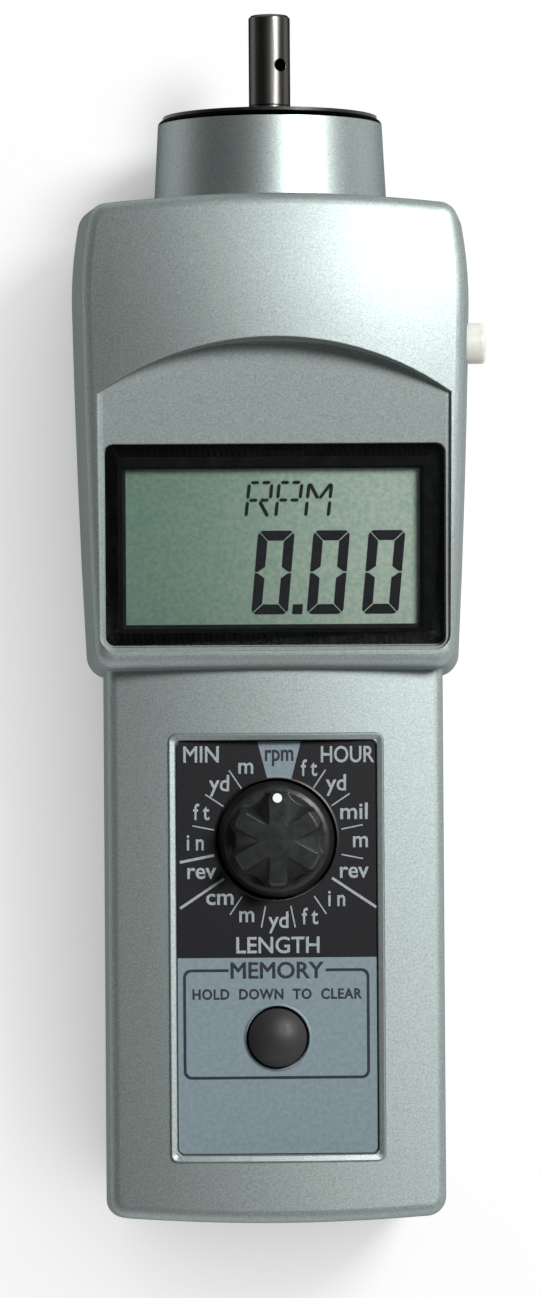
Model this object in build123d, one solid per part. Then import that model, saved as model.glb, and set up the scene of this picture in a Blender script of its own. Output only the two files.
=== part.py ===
from build123d import *
from math import cos, radians, sin, sqrt, tan
import os

# A hand-held contact tachometer lying on its back.
# Frame: millimetres, +X to the right of the display, +Y from the handle towards the drive shaft,
# +Z out of the display. The origin is on the rear rest face, under the shaft's centre line,
# at the shoulder between head and handle.

# Case, outside
HEAD_LENGTH = 72.5
HEAD_HALF_WIDTH = 30.5
HEAD_WIDEST_Y = 57.0
SHOULDER_HALF_WIDTH = 28.4
HEAD_TOP_HALF_WIDTH = 28.9
HEAD_TOP_BOW = 1.9
HEAD_CORNER_RADIUS = 3.5
HANDLE_LENGTH = 83.0
HANDLE_HALF_WIDTH = 26.05
HANDLE_END_BOW = 1.7
HANDLE_CORNER_RADIUS = 2.8
REAR_CORNER_RADIUS = 5.5
FRONT_CORNER_RADIUS = 4.0
PARTING_HEIGHT = 20.0
HEAD_DRAFT = 5.0
HANDLE_DRAFT = 3.0
REAR_DRAFT = 4.0
WALL = 2.2
FRONT_EDGE_FILLET = 2.2
REAR_EDGE_FILLET = 4.0

# Crown of the head: height at the side edge, its half width there, and the cross radius, along Y
FACE_TILT = 4.9
FACE_EDGE_HEIGHT = 37.6
FACE_EDGE_HALF = 26.0
HOOD_RADIUS = 85.0
LIP_RADIUS = 220.0
HOOD_TOP_DROP = 2.0

# Crown of the handle
HANDLE_HEIGHT = 36.0
HANDLE_CROWN_RADIUS = 115.0

# Display pocket and window
POCKET_DEPTH = 0.8
POCKET_HALF_WIDTH = 25.9
POCKET_BOTTOM = 4.5
ARCH_PEAK = 50.0
ARCH_END = 42.4
WINDOW_HALF_WIDTH = 25.5
WINDOW_BOTTOM = 4.8
WINDOW_TOP = 35.1
WINDOW_THICKNESS = 1.5
WINDOW_CORNER_RADIUS = 1.4
WINDOW_LEDGE = 1.9
LEDGE_THICKNESS = 1.2

# Liquid crystal display and its board, measured down from the pocket floor
LCD_LEFT = -22.4
LCD_RIGHT = 21.9
LCD_BOTTOM = 7.8
LCD_TOP = 31.3
LCD_BORDER = 1.3
LCD_THICKNESS = 2.2
HOLDER_LIP = 0.7
HOLDER_RIM = 0.9
STRIP_HEIGHT = 2.4
STRIP_WIDTH = 2.0
BOARD_THICKNESS = 1.6
DISPLAY_BOARD_HALF = 22.6
DISPLAY_BOARD_BOTTOM = 2.1
DISPLAY_BOARD_TOP = 40.6
STRIP_INSET = 1.5
STRIP_MARGIN = 0.2
DISPLAY_SCREW_X = DISPLAY_BOARD_HALF - 2.6
DISPLAY_SCREW_LOW = DISPLAY_BOARD_BOTTOM + 1.6
DISPLAY_SCREW_HIGH = DISPLAY_BOARD_TOP - 1.9

# Label pocket, label, knob and memory button
LABEL_HALF_WIDTH = 15.8
LABEL_POCKET_TOP = -8.8
LABEL_POCKET_BOTTOM = -72.5
LABEL_POCKET_DEPTH = 0.7
LABEL_BEVEL = 0.75
LABEL_THICKNESS = 0.4
LABEL_FLOOR_WALL = 2.0
LABEL_CORNER_RADIUS = 1.0
KNOB_Y = -24.4
KNOB_RADIUS = 8.8
KNOB_HEIGHT = 8.4
KNOB_SKIRT_HEIGHT = 3.6
KNOB_SKIRT_TOP_RADIUS = 7.9
KNOB_GRIP_RADIUS = 7.3
KNOB_TOP_RADIUS = 6.8
KNOB_RIDGES = 6
KNOB_HUB_RADIUS = 2.7
KNOB_SUNK = 1.6
KNOB_CLEARANCE = 0.4
MEMORY_Y = -54.3
MEMORY_RADIUS = 4.4
MEMORY_RISE = 2.6
MEMORY_TRAVEL = 0.5
BUTTON_CLEARANCE = 0.3
BUTTON_FLANGE = 1.2
MEMORY_STEM = 1.35
MEMORY_STEM_RADIUS = 1.6
MEMORY_FLANGE_REACH = 1.1
MEMORY_EDGE_RISE = 0.4

# Side button
MEASURE_Y = 50.8
MEASURE_HEIGHT = 26.0
MEASURE_RADIUS = 3.15
MEASURE_TIP_X = HEAD_HALF_WIDTH + 2.1
MEASURE_FLANGE_X = HEAD_HALF_WIDTH - 4.3
MEASURE_FLANGE = 0.9
MEASURE_FLANGE_REACH = 0.9
MEASURE_TIP_EDGE = 0.7
MEASURE_TRAVEL = 0.6

# Drive shaft, bearings and nose
SHAFT_HEIGHT = 23.0
SHAFT_RADIUS = 3.175
SHAFT_TIP = 101.3
SHAFT_SHOULDER = 83.9
SHOULDER_RADIUS = 3.4
SHOULDER_WIDTH = 0.9
RELIEF_RADIUS = 2.9
RELIEF_FRONT = 87.5
SHAFT_TAIL = 40.0
SEAT_RADIUS = 3.0
SOCKET_RADIUS = 2.0
SOCKET_DEPTH = 14.0
CROSS_HOLE_RADIUS = 1.0
CROSS_HOLE_Y = 93.5
CROSS_HOLE_ANGLE = 31.5
BEARING_RADIUS = 9.5
BEARING_WIDTH = 6.0
BEARING_RACE_INNER = 5.0
BEARING_RACE_OUTER = 7.6
BEARING_BALL_RADIUS = 1.7
BEARING_BALLS = 7
REAR_BEARING_Y = 56.0
FRONT_BEARING_Y = 77.9
SLEEVE_RADIUS = 11.5
SLEEVE_REAR = 50.5
SLEEVE_FRONT = 84.1
FLANGE_RADIUS = 17.0
FLANGE_THICKNESS = 2.3
COLLAR_BASE_RADIUS = 17.8
COLLAR_TOP_RADIUS = 17.1
COLLAR_TOP = 85.2
COLLAR_SEAT = 0.4
COLLAR_END_WALL = 2.5
COLLAR_EDGE_RADIUS = 0.9
CAP_RADIUS = 16.4
CAP_EDGE = 0.5
CAP_RISE = 1.3
NOSE_SCREW_CIRCLE = 14.0
NOSE_SCREW_RADIUS = 1.25
CIRCLIP_THICKNESS = 0.8

# Encoder
DISC_Y = 46.0
DISC_RADIUS = 12.0
DISC_THICKNESS = 0.5
DISC_SLOTS = 20
HUB_RADIUS = 5.5
HUB_REAR = 41.4
HUB_FRONT = 48.4

# Boards, battery bay and cells
MAIN_BOARD_HALF_WIDTH = 20.5
MAIN_BOARD_BOTTOM = -69.5
MAIN_BOARD_TOP = -3.5
MAIN_BOARD_TONGUE = 14.0
MAIN_BOARD_TONGUE_HALF = 12.0
MAIN_SCREW_X = MAIN_BOARD_HALF_WIDTH - 2.7
MAIN_SCREW_LOW = MAIN_BOARD_BOTTOM + 3.0
MAIN_SCREW_HIGH = MAIN_BOARD_TOP - 3.1
SENSOR_BOARD_HEIGHT = 4.6
SENSOR_BOARD_REAR = 36.0
SENSOR_BOARD_FRONT = 55.0
SENSOR_BOARD_HALF = 14.0
CELL_RADIUS = 7.25
CELL_LENGTH = 50.5
CELL_NUB_RADIUS = 2.75
CELL_NUB_LENGTH = 1.0
CELL_X = 7.6
CELL_BOTTOM = -77.4
BAY_HALF_WIDTH = 17.0
BAY_TOP = -22.0
BAY_CEILING = 17.6
BAY_ROOF = 1.6
BAY_SIDE_WALL = 1.6
COVER_THICKNESS = 2.2
COVER_CLEARANCE = 0.2
COVER_TONGUE = 1.3
CONTACT_THICKNESS = 0.4

# Fasteners
CASE_SCREW_X = 22.3
CASE_SCREW_HEAD_Y = 61.5
CASE_SCREW_HANDLE_X = 21.3
CASE_SCREW_HANDLE_Y = -75.5
CASE_SCREW_RADIUS = 1.25
CASE_BOSS_RADIUS = 3.6
CASE_SCREW_HEAD_RADIUS = 2.3
CASE_SCREW_SEAT = 4.0
CASE_SCREW_LENGTH = 24.0
BOARD_SCREW_RADIUS = 0.9
BOARD_SCREW_HEAD = 1.7
BOARD_POST_RADIUS = 1.9
HOLE_CLEARANCE = 0.15
FIT_GAP = 0.05

# Shared small sizes
OVERLAP = 12.0
PAST_CASE = 40.0
PAST_HEAD = 90.0
PAST_HANDLE = -99.0
BELOW_LIP = -10.0
PAST_FRONT = 60.0
PAST_FACE = 30.0
PARTING_BOW = 0.4
HANDLE_EDGE_FILLET = 2.0
POCKET_WALL_DRAFT = 3.0
LABEL_WALL_DRAFT = 20.0
MEASURE_BOARD_LENGTH = 13.0
MEASURE_BOARD_TOP = 33.0
SWITCH_SIZE = 6.0
SWITCH_HEIGHT = 3.5
SWITCH_PLUNGER = 0.9
SWITCH_PLUNGER_RADIUS = 1.75
SENSOR_SCREW_X = SENSOR_BOARD_HALF - 3.0
SENSOR_SCREW_LOW = SENSOR_BOARD_REAR + 2.6
SENSOR_SCREW_HIGH = SENSOR_BOARD_FRONT - 2.6
SENSOR_SCREW_LENGTH = 4.0
TONGUE_LOW = 0.95
TONGUE_HIGH = 1.75
TAB_WIDTH = 4.0
COVER_GROOVES = 4
COVER_GROOVE_Y = -30.0
COVER_GROOVE_PITCH = 2.4
COVER_GROOVE_RADIUS = 1.2
COVER_GROOVE_LENGTH = 18.0
COVER_GROOVE_SINK = 0.5
CONTACT_WIDTH = 5.0
PLATE_HALF_WIDTH = 4.0
PLATE_HALF_HEIGHT = 5.0
LEAF_BELOW = 4.5
LEAF_ABOVE = 3.0
LEAF_CREST = 0.8
LEAF_LIFT = 1.6
CELL_EDGE = 0.6
BOARD_SCREW_LENGTH = 5.5
BOARD_SCREW_HEAD_HEIGHT = 1.1
CASE_SCREW_HEAD_HEIGHT = 1.8
RECESS_SHARE = 0.45
RECESS_DEPTH = 0.6
CHIP_Y = -44.0
CHIP_HALF = 7.0
CHIP_HEIGHT = 1.6
CHIP_CORNER = 0.4
CRYSTAL_X = 13.0
CRYSTAL_HALF_WIDTH = 2.0
CRYSTAL_HALF_LENGTH = 5.5
CRYSTAL_HEIGHT = 2.6
CRYSTAL_CORNER = 1.6
CAPACITOR_X = -13.5
CAPACITOR_RADIUS = 2.5
CAPACITOR_HEIGHT = 5.5
CAPACITOR_PITCH = 6.5
HEADER_Y = 8.0
HEADER_HALF = 8.0
HEADER_WIDTH = 2.5
SELECTOR_HALF = 9.0
SELECTOR_CHAMFER = 2.0
SELECTOR_BUSH_RADIUS = 4.3
SELECTOR_BUSH_HEIGHT = 2.2
SPINDLE_RADIUS = 3.0
SPINDLE_FLAT = 1.5
ROTOR_RADIUS = 6.0
ROTOR_HEIGHT = 2.2
KNOB_BOSS_RADIUS = 4.4
FLUTE_HALF_ANGLE = 33.0
FLUTE_SLOPE = 20.0
FLANGE_GAP = 0.25
GROOVE_DEPTH = 0.45
SEAT_GAP = 0.02
NOSE_BOSS_RADIUS = 2.3
NOSE_SCREW_END = 80.0
NOSE_SCREW_HEAD = 2.2
CAP_HOLE_GAP = 0.35
HUB_FLANGE = 7.0
HUB_SPIGOT = 4.0
SET_SCREW_RADIUS = 1.0
DISC_SLOT_INNER = 8.2
DISC_SLOT_OUTER = 11.0
DISC_SLOT_WIDTH = 1.0
BARRIER_HALF = 6.0
BARRIER_ARM = 2.6
BARRIER_GAP = 1.3
BARRIER_OVERLAP = 3.6
RIBBON_THICKNESS = 0.6
RIBBON_HALF = 5.0
RIBBON_END = 9.5
RIBBON_SET_IN = 1.5
RIBBON_BEND = 2.5
RIB_WALL = 1.2
RIB_REACH = 2.0
RIB_GRIP = 1.0
BUSH_GAP = 0.2
SPINDLE_FLOOR = 1.5
SPINDLE_TOP_DROP = 2.2
ROTOR_GAP = 0.3
KNOB_DOME = 0.2
KNOB_RIM = 0.8
KNOB_STEP = 0.3
KNOB_EDGE = 0.5
KNOB_WALL = 0.6
FLUTE_LENGTH = 9.0
WELL_DEPTH = 1.7
SWITCH_CORNER = 0.4
CAGE_OVERLAP = 0.6
RACE_GAP = 0.5
CLIP_NOTCH = 2.2
HUB_FLANGE_THICKNESS = 1.4
SET_SCREW_SOCKET = 0.45
SET_SCREW_SOCKET_DEPTH = 0.8
SET_SCREW_SINK = 0.2
SHAFT_CHAMFER = 0.4
NOSE_SCREW_HEAD_HEIGHT = 1.6

os.makedirs("parts", exist_ok=True)


def save(name, shape):
    shape.label = name
    export_step(shape, f"parts/{name}.step")


def rod(radius, low, high, x=0.0, y=0.0):
    """An upright round solid between two heights."""
    return Pos(x, y, (low + high) / 2) * Cylinder(radius, high - low)


def bar(radius, rear, front, x=0.0, z=SHAFT_HEIGHT):
    """A round solid along Y, on the shaft's line unless moved."""
    return Pos(x, (rear + front) / 2, z) * Rot(90, 0, 0) * Cylinder(radius, front - rear)


def block(x0, x1, y0, y1, z0, z1):
    """A rectangular solid between two corners."""
    return Pos((x0 + x1) / 2, (y0 + y1) / 2, (z0 + z1) / 2) * Box(x1 - x0, y1 - y0, z1 - z0)


def spun(face):
    """A solid turned about the shaft's line from a face drawn in (radius, y)."""
    spin_plane = Plane(origin=(0, 0, SHAFT_HEIGHT), x_dir=(1, 0, 0), z_dir=(0, 0, 1))
    return revolve(spin_plane * face, Axis((0, 0, SHAFT_HEIGHT), (0, 1, 0)), 360)


def turned(points):
    """A solid turned about the shaft's line from (radius, y) points."""
    return spun(make_face(Polyline(*points, close=True)))


def lathe(points, x=0.0, y=0.0):
    """A solid turned about an upright line from (radius, z) points."""
    profile = make_face(Polyline(*points, close=True))
    return Pos(x, y, 0) * revolve(Plane.XZ * profile, Axis.Z, 360)


def head_outline(height, inset, bow, corner, end=0.0):
    """The head's outline at one height: waisted sides, a bowed top end and rounded corners."""
    low = SHOULDER_HALF_WIDTH - inset
    wide = HEAD_HALF_WIDTH - inset
    high = HEAD_TOP_HALF_WIDTH - inset
    top = HEAD_LENGTH - end
    top_side = top - bow
    low_mid = (low + wide) / 2 + 0.25
    high_mid = wide - 0.35
    low_y = HEAD_WIDEST_Y / 2
    high_y = (HEAD_WIDEST_Y + top_side) / 2
    edges = [
        ThreePointArc((low, inset), (low_mid, low_y), (wide, HEAD_WIDEST_Y)),
        ThreePointArc((wide, HEAD_WIDEST_Y), (high_mid, high_y), (high, top_side)),
        ThreePointArc((high, top_side), (0, top), (-high, top_side)),
        ThreePointArc((-high, top_side), (-high_mid, high_y), (-wide, HEAD_WIDEST_Y)),
        ThreePointArc((-wide, HEAD_WIDEST_Y), (-low_mid, low_y), (-low, inset)),
        Line((-low, inset), (low, inset)),
    ]
    face = make_face(edges)
    corners = [v for v in face.vertices() if abs(v.Y - HEAD_WIDEST_Y) > 1]
    face = fillet(corners, max(corner - inset / 2, 0.8))
    return Pos(0, 0, height) * face


def handle_outline(height, inset, bow, reach, corner):
    """The handle's outline at one height, running up into the head."""
    half = HANDLE_HALF_WIDTH - inset
    end = -HANDLE_LENGTH + inset
    bottom_edge = ThreePointArc((-half, end + bow), (0, end), (half, end + bow))
    sides = Polyline((half, end + bow), (half, reach), (-half, reach), (-half, end + bow))
    face = make_face([bottom_edge] + sides.edges())
    corners = [v for v in face.vertices() if v.Y < 0]
    face = fillet(corners, max(corner - inset / 2, 0.8))
    return Pos(0, 0, height) * face


def ridge(edge_height, radius):
    """Crown height on the centre line for a given height at the side edge."""
    return edge_height + radius - sqrt(radius**2 - FACE_EDGE_HALF**2)


def head_crown(inset):
    """Everything below the head's crowned front, which is flatter at the lip than at the hood."""
    slope = tan(radians(FACE_TILT))
    arch_edge = FACE_EDGE_HEIGHT + slope * ARCH_END
    middle = ARCH_END / 2
    stations = [
        (-6.0, FACE_EDGE_HEIGHT - slope * 6.0, LIP_RADIUS),
        (middle, FACE_EDGE_HEIGHT + slope * middle, (LIP_RADIUS + HOOD_RADIUS) / 2),
        (ARCH_END, arch_edge, HOOD_RADIUS),
        (HEAD_WIDEST_Y, arch_edge + 0.55, HOOD_RADIUS),
        (HEAD_LENGTH + 6.0, arch_edge - HOOD_TOP_DROP - 0.6, HOOD_RADIUS),
    ]
    half = HEAD_HALF_WIDTH + 6.0
    sections = []
    for y, edge, radius in stations:
        top = ridge(edge, radius) - inset
        shoulder = top - radius + sqrt(radius**2 - half**2)
        arc = ThreePointArc((half, shoulder), (0, top), (-half, shoulder))
        rest = Polyline((-half, shoulder), (-half, -1), (half, -1), (half, shoulder))
        plane = Plane(origin=(0, y, 0), x_dir=(1, 0, 0), z_dir=(0, -1, 0))
        sections.append(plane * make_face([arc] + rest.edges()))
    return loft(sections)


def handle_crown(inset):
    """Everything below the handle's crowned front."""
    axis_height = HANDLE_HEIGHT - inset - HANDLE_CROWN_RADIUS
    return bar(HANDLE_CROWN_RADIUS, -HANDLE_LENGTH - 5, OVERLAP + 5, 0, axis_height)


def head_front(inset, end=0.0):
    rise = HEAD_HALF_WIDTH
    spread = rise * tan(radians(HEAD_DRAFT))
    low = head_outline(PARTING_HEIGHT, inset, PARTING_BOW, HEAD_CORNER_RADIUS, end)
    high = head_outline(PARTING_HEIGHT + rise, inset + spread, HEAD_TOP_BOW, FRONT_CORNER_RADIUS, end)
    return loft([low, high], ruled=True) & head_crown(inset)


def head_rear(inset, end=0.0):
    spread = PARTING_HEIGHT * tan(radians(REAR_DRAFT))
    low = head_outline(0, inset + spread, PARTING_BOW, REAR_CORNER_RADIUS, end)
    high = head_outline(PARTING_HEIGHT, inset, PARTING_BOW, HEAD_CORNER_RADIUS, end)
    return loft([low, high], ruled=True)


def handle_front(inset, reach):
    rise = HANDLE_HALF_WIDTH
    spread = rise * tan(radians(HANDLE_DRAFT))
    low = handle_outline(PARTING_HEIGHT, inset, PARTING_BOW, reach, HANDLE_CORNER_RADIUS)
    high = handle_outline(PARTING_HEIGHT + rise, inset + spread, HANDLE_END_BOW, reach, FRONT_CORNER_RADIUS)
    return loft([low, high], ruled=True) & handle_crown(inset)


def handle_rear(inset, reach):
    spread = PARTING_HEIGHT * tan(radians(REAR_DRAFT))
    low = handle_outline(0, inset + spread, PARTING_BOW, reach, REAR_CORNER_RADIUS)
    high = handle_outline(PARTING_HEIGHT, inset, PARTING_BOW, reach, HANDLE_CORNER_RADIUS)
    return loft([low, high], ruled=True)


def rounded(shape, radius, low, high, last_y):
    """Rounds a form's edges that lie between two heights and short of a length."""
    edges = []
    for edge in shape.edges():
        box = edge.bounding_box()
        if box.min.Z > low and box.max.Z < high and box.min.Y < last_y - 0.5:
            edges.append(edge)
    return fillet(edges, radius)


# The display stands on a plane that rises towards the shaft. Local y runs up the slope.
POCKET_FLOOR = FACE_EDGE_HEIGHT - POCKET_DEPTH
tilt = radians(FACE_TILT)
face_plane = Plane(origin=(0, 0, POCKET_FLOOR), x_dir=(1, 0, 0), z_dir=(0, -sin(tilt), cos(tilt)))
LEDGE_FACE = -(WINDOW_THICKNESS + HOLE_CLEARANCE)
DISPLAY_BACK = LEDGE_FACE - LEDGE_THICKNESS


def on_face(x0, x1, y0, y1, z0, z1):
    """A block in the display plane's own directions."""
    return face_plane * block(x0, x1, y0, y1, z0, z1)


def arch_outline(grow):
    """The display pocket seen from the front, with its arched top."""
    half = POCKET_HALF_WIDTH
    arch = ThreePointArc((half, ARCH_END), (0, ARCH_PEAK), (-half, ARCH_END))
    sides = Polyline((-half, ARCH_END), (-half, POCKET_BOTTOM), (half, POCKET_BOTTOM), (half, ARCH_END))
    face = make_face([arch] + sides.edges())
    low = [v for v in face.vertices() if v.Y < POCKET_BOTTOM + 1]
    face = fillet(low, 2.0)
    if grow:
        face = make_face(offset(face, grow).edges())
    return face


above_face = on_face(-PAST_CASE, PAST_CASE, BELOW_LIP, PAST_HEAD, 0, PAST_FACE)
pocket = extrude(Pos(0, 0, 30) * arch_outline(0), 25, taper=-POCKET_WALL_DRAFT) & above_face
backing_space = on_face(-PAST_CASE, PAST_CASE, BELOW_LIP, PAST_HEAD, DISPLAY_BACK, PAST_FACE)
backing = extrude(Pos(0, 0, 20) * arch_outline(WALL), 35) & backing_space

# Label pocket in the handle
crown_drop = HANDLE_CROWN_RADIUS - sqrt(HANDLE_CROWN_RADIUS**2 - LABEL_HALF_WIDTH**2)
LABEL_FLOOR = HANDLE_HEIGHT - crown_drop - LABEL_POCKET_DEPTH
HANDLE_CEILING = LABEL_FLOOR - LABEL_FLOOR_WALL
LABEL_TOP_FACE = LABEL_FLOOR + LABEL_THICKNESS
KNOB_BASE = LABEL_TOP_FACE - KNOB_SUNK
# The main board hangs below the ceiling by the memory button's flange, stem and push switch.
button_stack = FLANGE_GAP + BUTTON_FLANGE + MEMORY_STEM + SWITCH_PLUNGER + SWITCH_HEIGHT
MAIN_BOARD_FACE = HANDLE_CEILING - button_stack
MAIN_BOARD_HEIGHT = MAIN_BOARD_FACE - BOARD_THICKNESS
label_length = LABEL_POCKET_TOP - LABEL_POCKET_BOTTOM
label_centre = (LABEL_POCKET_TOP + LABEL_POCKET_BOTTOM) / 2


def label_outline(inset):
    width = 2 * (LABEL_HALF_WIDTH - inset)
    return Pos(0, label_centre) * RectangleRounded(width, label_length - 2 * inset, LABEL_CORNER_RADIUS)


label_pocket = extrude(Pos(0, 0, LABEL_FLOOR) * label_outline(LABEL_BEVEL), 4, taper=-LABEL_WALL_DRAFT)
knob_hole = rod(KNOB_RADIUS + KNOB_CLEARANCE, HANDLE_CEILING - 1, HANDLE_HEIGHT + 1, 0, KNOB_Y)
memory_hole = rod(MEMORY_RADIUS + BUTTON_CLEARANCE, HANDLE_CEILING - 1, HANDLE_HEIGHT + 1, 0, MEMORY_Y)

# Front shell
crown_low = PARTING_HEIGHT + 8
front_outside = rounded(head_front(0), FRONT_EDGE_FILLET, crown_low, PAST_FRONT, PAST_HEAD)
handle_outside = rounded(handle_front(0, OVERLAP), HANDLE_EDGE_FILLET, crown_low, PAST_FRONT, OVERLAP)
front_solid = front_outside + handle_outside
head_room = head_front(WALL, WALL) - backing
below_ceiling = block(-PAST_CASE, PAST_CASE, PAST_HANDLE, OVERLAP, 0, HANDLE_CEILING)
handle_room = handle_front(WALL, WALL + 3) & below_ceiling
window_seat = on_face(
    -WINDOW_HALF_WIDTH - HOLE_CLEARANCE,
    WINDOW_HALF_WIDTH + HOLE_CLEARANCE,
    WINDOW_BOTTOM - HOLE_CLEARANCE,
    WINDOW_TOP + HOLE_CLEARANCE,
    LEDGE_FACE,
    5,
)
window_opening = on_face(
    WINDOW_LEDGE - WINDOW_HALF_WIDTH,
    WINDOW_HALF_WIDTH - WINDOW_LEDGE,
    WINDOW_BOTTOM + WINDOW_LEDGE,
    WINDOW_TOP - WINDOW_LEDGE,
    DISPLAY_BACK - 1,
    1,
)
seat_edges = window_seat.edges().filter_by(lambda e: abs(e.length - (5 - LEDGE_FACE)) < 0.01)
window_seat = fillet(seat_edges, WINDOW_CORNER_RADIUS)
front_shell = front_solid - head_room - handle_room - pocket - window_seat - window_opening
front_shell = front_shell - label_pocket - knob_hole - memory_hole

case_screw_places = [
    (CASE_SCREW_X, CASE_SCREW_HEAD_Y),
    (-CASE_SCREW_X, CASE_SCREW_HEAD_Y),
    (CASE_SCREW_HANDLE_X, CASE_SCREW_HANDLE_Y),
    (-CASE_SCREW_HANDLE_X, CASE_SCREW_HANDLE_Y),
]
inner_front = head_front(WALL / 2) + handle_front(WALL / 2, OVERLAP)
inner_front -= on_face(-PAST_CASE, PAST_CASE, BELOW_LIP, ARCH_PEAK, DISPLAY_BACK + 0.5, PAST_FACE)
for x, y in case_screw_places:
    front_shell += rod(CASE_BOSS_RADIUS, PARTING_HEIGHT, PAST_FRONT, x, y) & inner_front
    front_shell -= rod(CASE_SCREW_RADIUS, PARTING_HEIGHT - 1, CASE_SCREW_SEAT + CASE_SCREW_LENGTH + 1, x, y)

main_screw_places = [
    (side * MAIN_SCREW_X, y) for side in (-1, 1) for y in (MAIN_SCREW_LOW, MAIN_SCREW_HIGH)
]
for x, y in main_screw_places:
    front_shell += rod(BOARD_POST_RADIUS, MAIN_BOARD_FACE, HANDLE_CEILING + 0.5, x, y)
    front_shell -= rod(BOARD_SCREW_RADIUS, MAIN_BOARD_FACE - 1, MAIN_BOARD_FACE + 5, x, y)

GLASS_FACE = DISPLAY_BACK - HOLDER_LIP
STRIP_FACE = GLASS_FACE - LCD_THICKNESS
DISPLAY_BOARD_FACE = STRIP_FACE - STRIP_HEIGHT
DISPLAY_BOARD_BACK = DISPLAY_BOARD_FACE - BOARD_THICKNESS
display_screw_places = [
    (side * DISPLAY_SCREW_X, y) for side in (-1, 1) for y in (DISPLAY_SCREW_LOW, DISPLAY_SCREW_HIGH)
]
for x, y in display_screw_places:
    front_shell += face_plane * rod(BOARD_POST_RADIUS, DISPLAY_BOARD_FACE, DISPLAY_BACK + 0.5, x, y)
    front_shell -= face_plane * rod(BOARD_SCREW_RADIUS, DISPLAY_BOARD_FACE - 1, DISPLAY_BACK - 0.5, x, y)

# The side button's board stands in two slotted ribs of the front shell.
MEASURE_BOARD_X = MEASURE_FLANGE_X - SWITCH_PLUNGER - SWITCH_HEIGHT - BOARD_THICKNESS
measure_board_low = MEASURE_Y - MEASURE_BOARD_LENGTH / 2
measure_board_high = MEASURE_Y + MEASURE_BOARD_LENGTH / 2
rib_x0 = MEASURE_BOARD_X - RIB_WALL
rib_x1 = MEASURE_BOARD_X + BOARD_THICKNESS + RIB_WALL
rib_spans = [
    (measure_board_low - RIB_REACH, measure_board_low + RIB_GRIP),
    (measure_board_high - RIB_GRIP, measure_board_high + RIB_REACH),
]
for y0, y1 in rib_spans:
    front_shell += block(rib_x0, rib_x1, y0, y1, PARTING_HEIGHT + 0.2, PAST_FRONT) & inner_front
board_slot = block(
    MEASURE_BOARD_X - FIT_GAP,
    MEASURE_BOARD_X + BOARD_THICKNESS + FIT_GAP,
    measure_board_low - FIT_GAP,
    measure_board_high + FIT_GAP,
    PARTING_HEIGHT - 1,
    MEASURE_BOARD_TOP + FIT_GAP,
)
front_shell -= board_slot


def side_rod(radius, x0, x1):
    """A round solid along X on the side button's line."""
    return Pos((x0 + x1) / 2, MEASURE_Y, MEASURE_HEIGHT) * Rot(0, 90, 0) * Cylinder(radius, x1 - x0)


front_shell -= side_rod(MEASURE_RADIUS + BUTTON_CLEARANCE, MEASURE_FLANGE_X - 1, PAST_CASE)

# The nose is clamped through the shells' end wall.
nose_screw_places = []
for step in range(3):
    angle = radians(90 + 120 * step)
    nose_screw_places.append((NOSE_SCREW_CIRCLE * cos(angle), SHAFT_HEIGHT + NOSE_SCREW_CIRCLE * sin(angle)))
FLANGE_FRONT = HEAD_LENGTH - WALL
FLANGE_REAR = FLANGE_FRONT - FLANGE_THICKNESS
COLLAR_BASE = HEAD_LENGTH - COLLAR_SEAT
nose_cuts = bar(SLEEVE_RADIUS + HOLE_CLEARANCE, FLANGE_FRONT - 2, HEAD_LENGTH + 2)
nose_cuts += bar(FLANGE_RADIUS + HOLE_CLEARANCE, FLANGE_REAR - 2, FLANGE_FRONT)
nose_cuts += bar(COLLAR_BASE_RADIUS + FIT_GAP, COLLAR_BASE, HEAD_LENGTH + 2)
for x, z in nose_screw_places:
    nose_cuts += bar(NOSE_SCREW_RADIUS + HOLE_CLEARANCE, FLANGE_FRONT - 2, HEAD_LENGTH + 1, x, z)
front_shell -= nose_cuts
save("front_shell", front_shell)

# Rear shell with the battery bay, screw bosses and sensor board posts
head_back = rounded(head_rear(0), REAR_EDGE_FILLET, -1, 1, PAST_HEAD)
handle_back = rounded(handle_rear(0, OVERLAP), REAR_EDGE_FILLET, -1, 1, OVERLAP)
rear_room = head_rear(WALL, WALL) + handle_rear(WALL, WALL + 2)
rear_room = rear_room & block(-PAST_CASE, PAST_CASE, PAST_HANDLE, PAST_HEAD, WALL, PARTING_HEIGHT + 1)
rear_outside = head_back + handle_back
rear_shell = rear_outside - rear_room
bay_wall_x = BAY_HALF_WIDTH + BAY_SIDE_WALL
bay_roof_top = BAY_CEILING + BAY_ROOF
inner_end = -HANDLE_LENGTH + WALL
bay_wall_y = BAY_TOP + BAY_SIDE_WALL
bay_walls = block(-bay_wall_x, bay_wall_x, -HANDLE_LENGTH + 1, bay_wall_y, WALL / 2, bay_roof_top)
rear_shell += bay_walls & handle_rear(WALL / 2, OVERLAP)
inner_rear = head_rear(0.5) + handle_rear(0.5, OVERLAP)
for x, y in case_screw_places:
    rear_shell += rod(CASE_BOSS_RADIUS, WALL / 2, PARTING_HEIGHT, x, y) & inner_rear
sensor_screw_places = [
    (side * SENSOR_SCREW_X, y) for side in (-1, 1) for y in (SENSOR_SCREW_LOW, SENSOR_SCREW_HIGH)
]
for x, y in sensor_screw_places:
    rear_shell += rod(BOARD_POST_RADIUS, WALL / 2, SENSOR_BOARD_HEIGHT, x, y)
    rear_shell -= rod(BOARD_SCREW_RADIUS, SENSOR_BOARD_HEIGHT - 3, SENSOR_BOARD_HEIGHT + 1, x, y)
rear_shell -= block(-BAY_HALF_WIDTH, BAY_HALF_WIDTH, inner_end, BAY_TOP, -1, BAY_CEILING)
COVER_SPACE = COVER_THICKNESS + COVER_CLEARANCE
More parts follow.
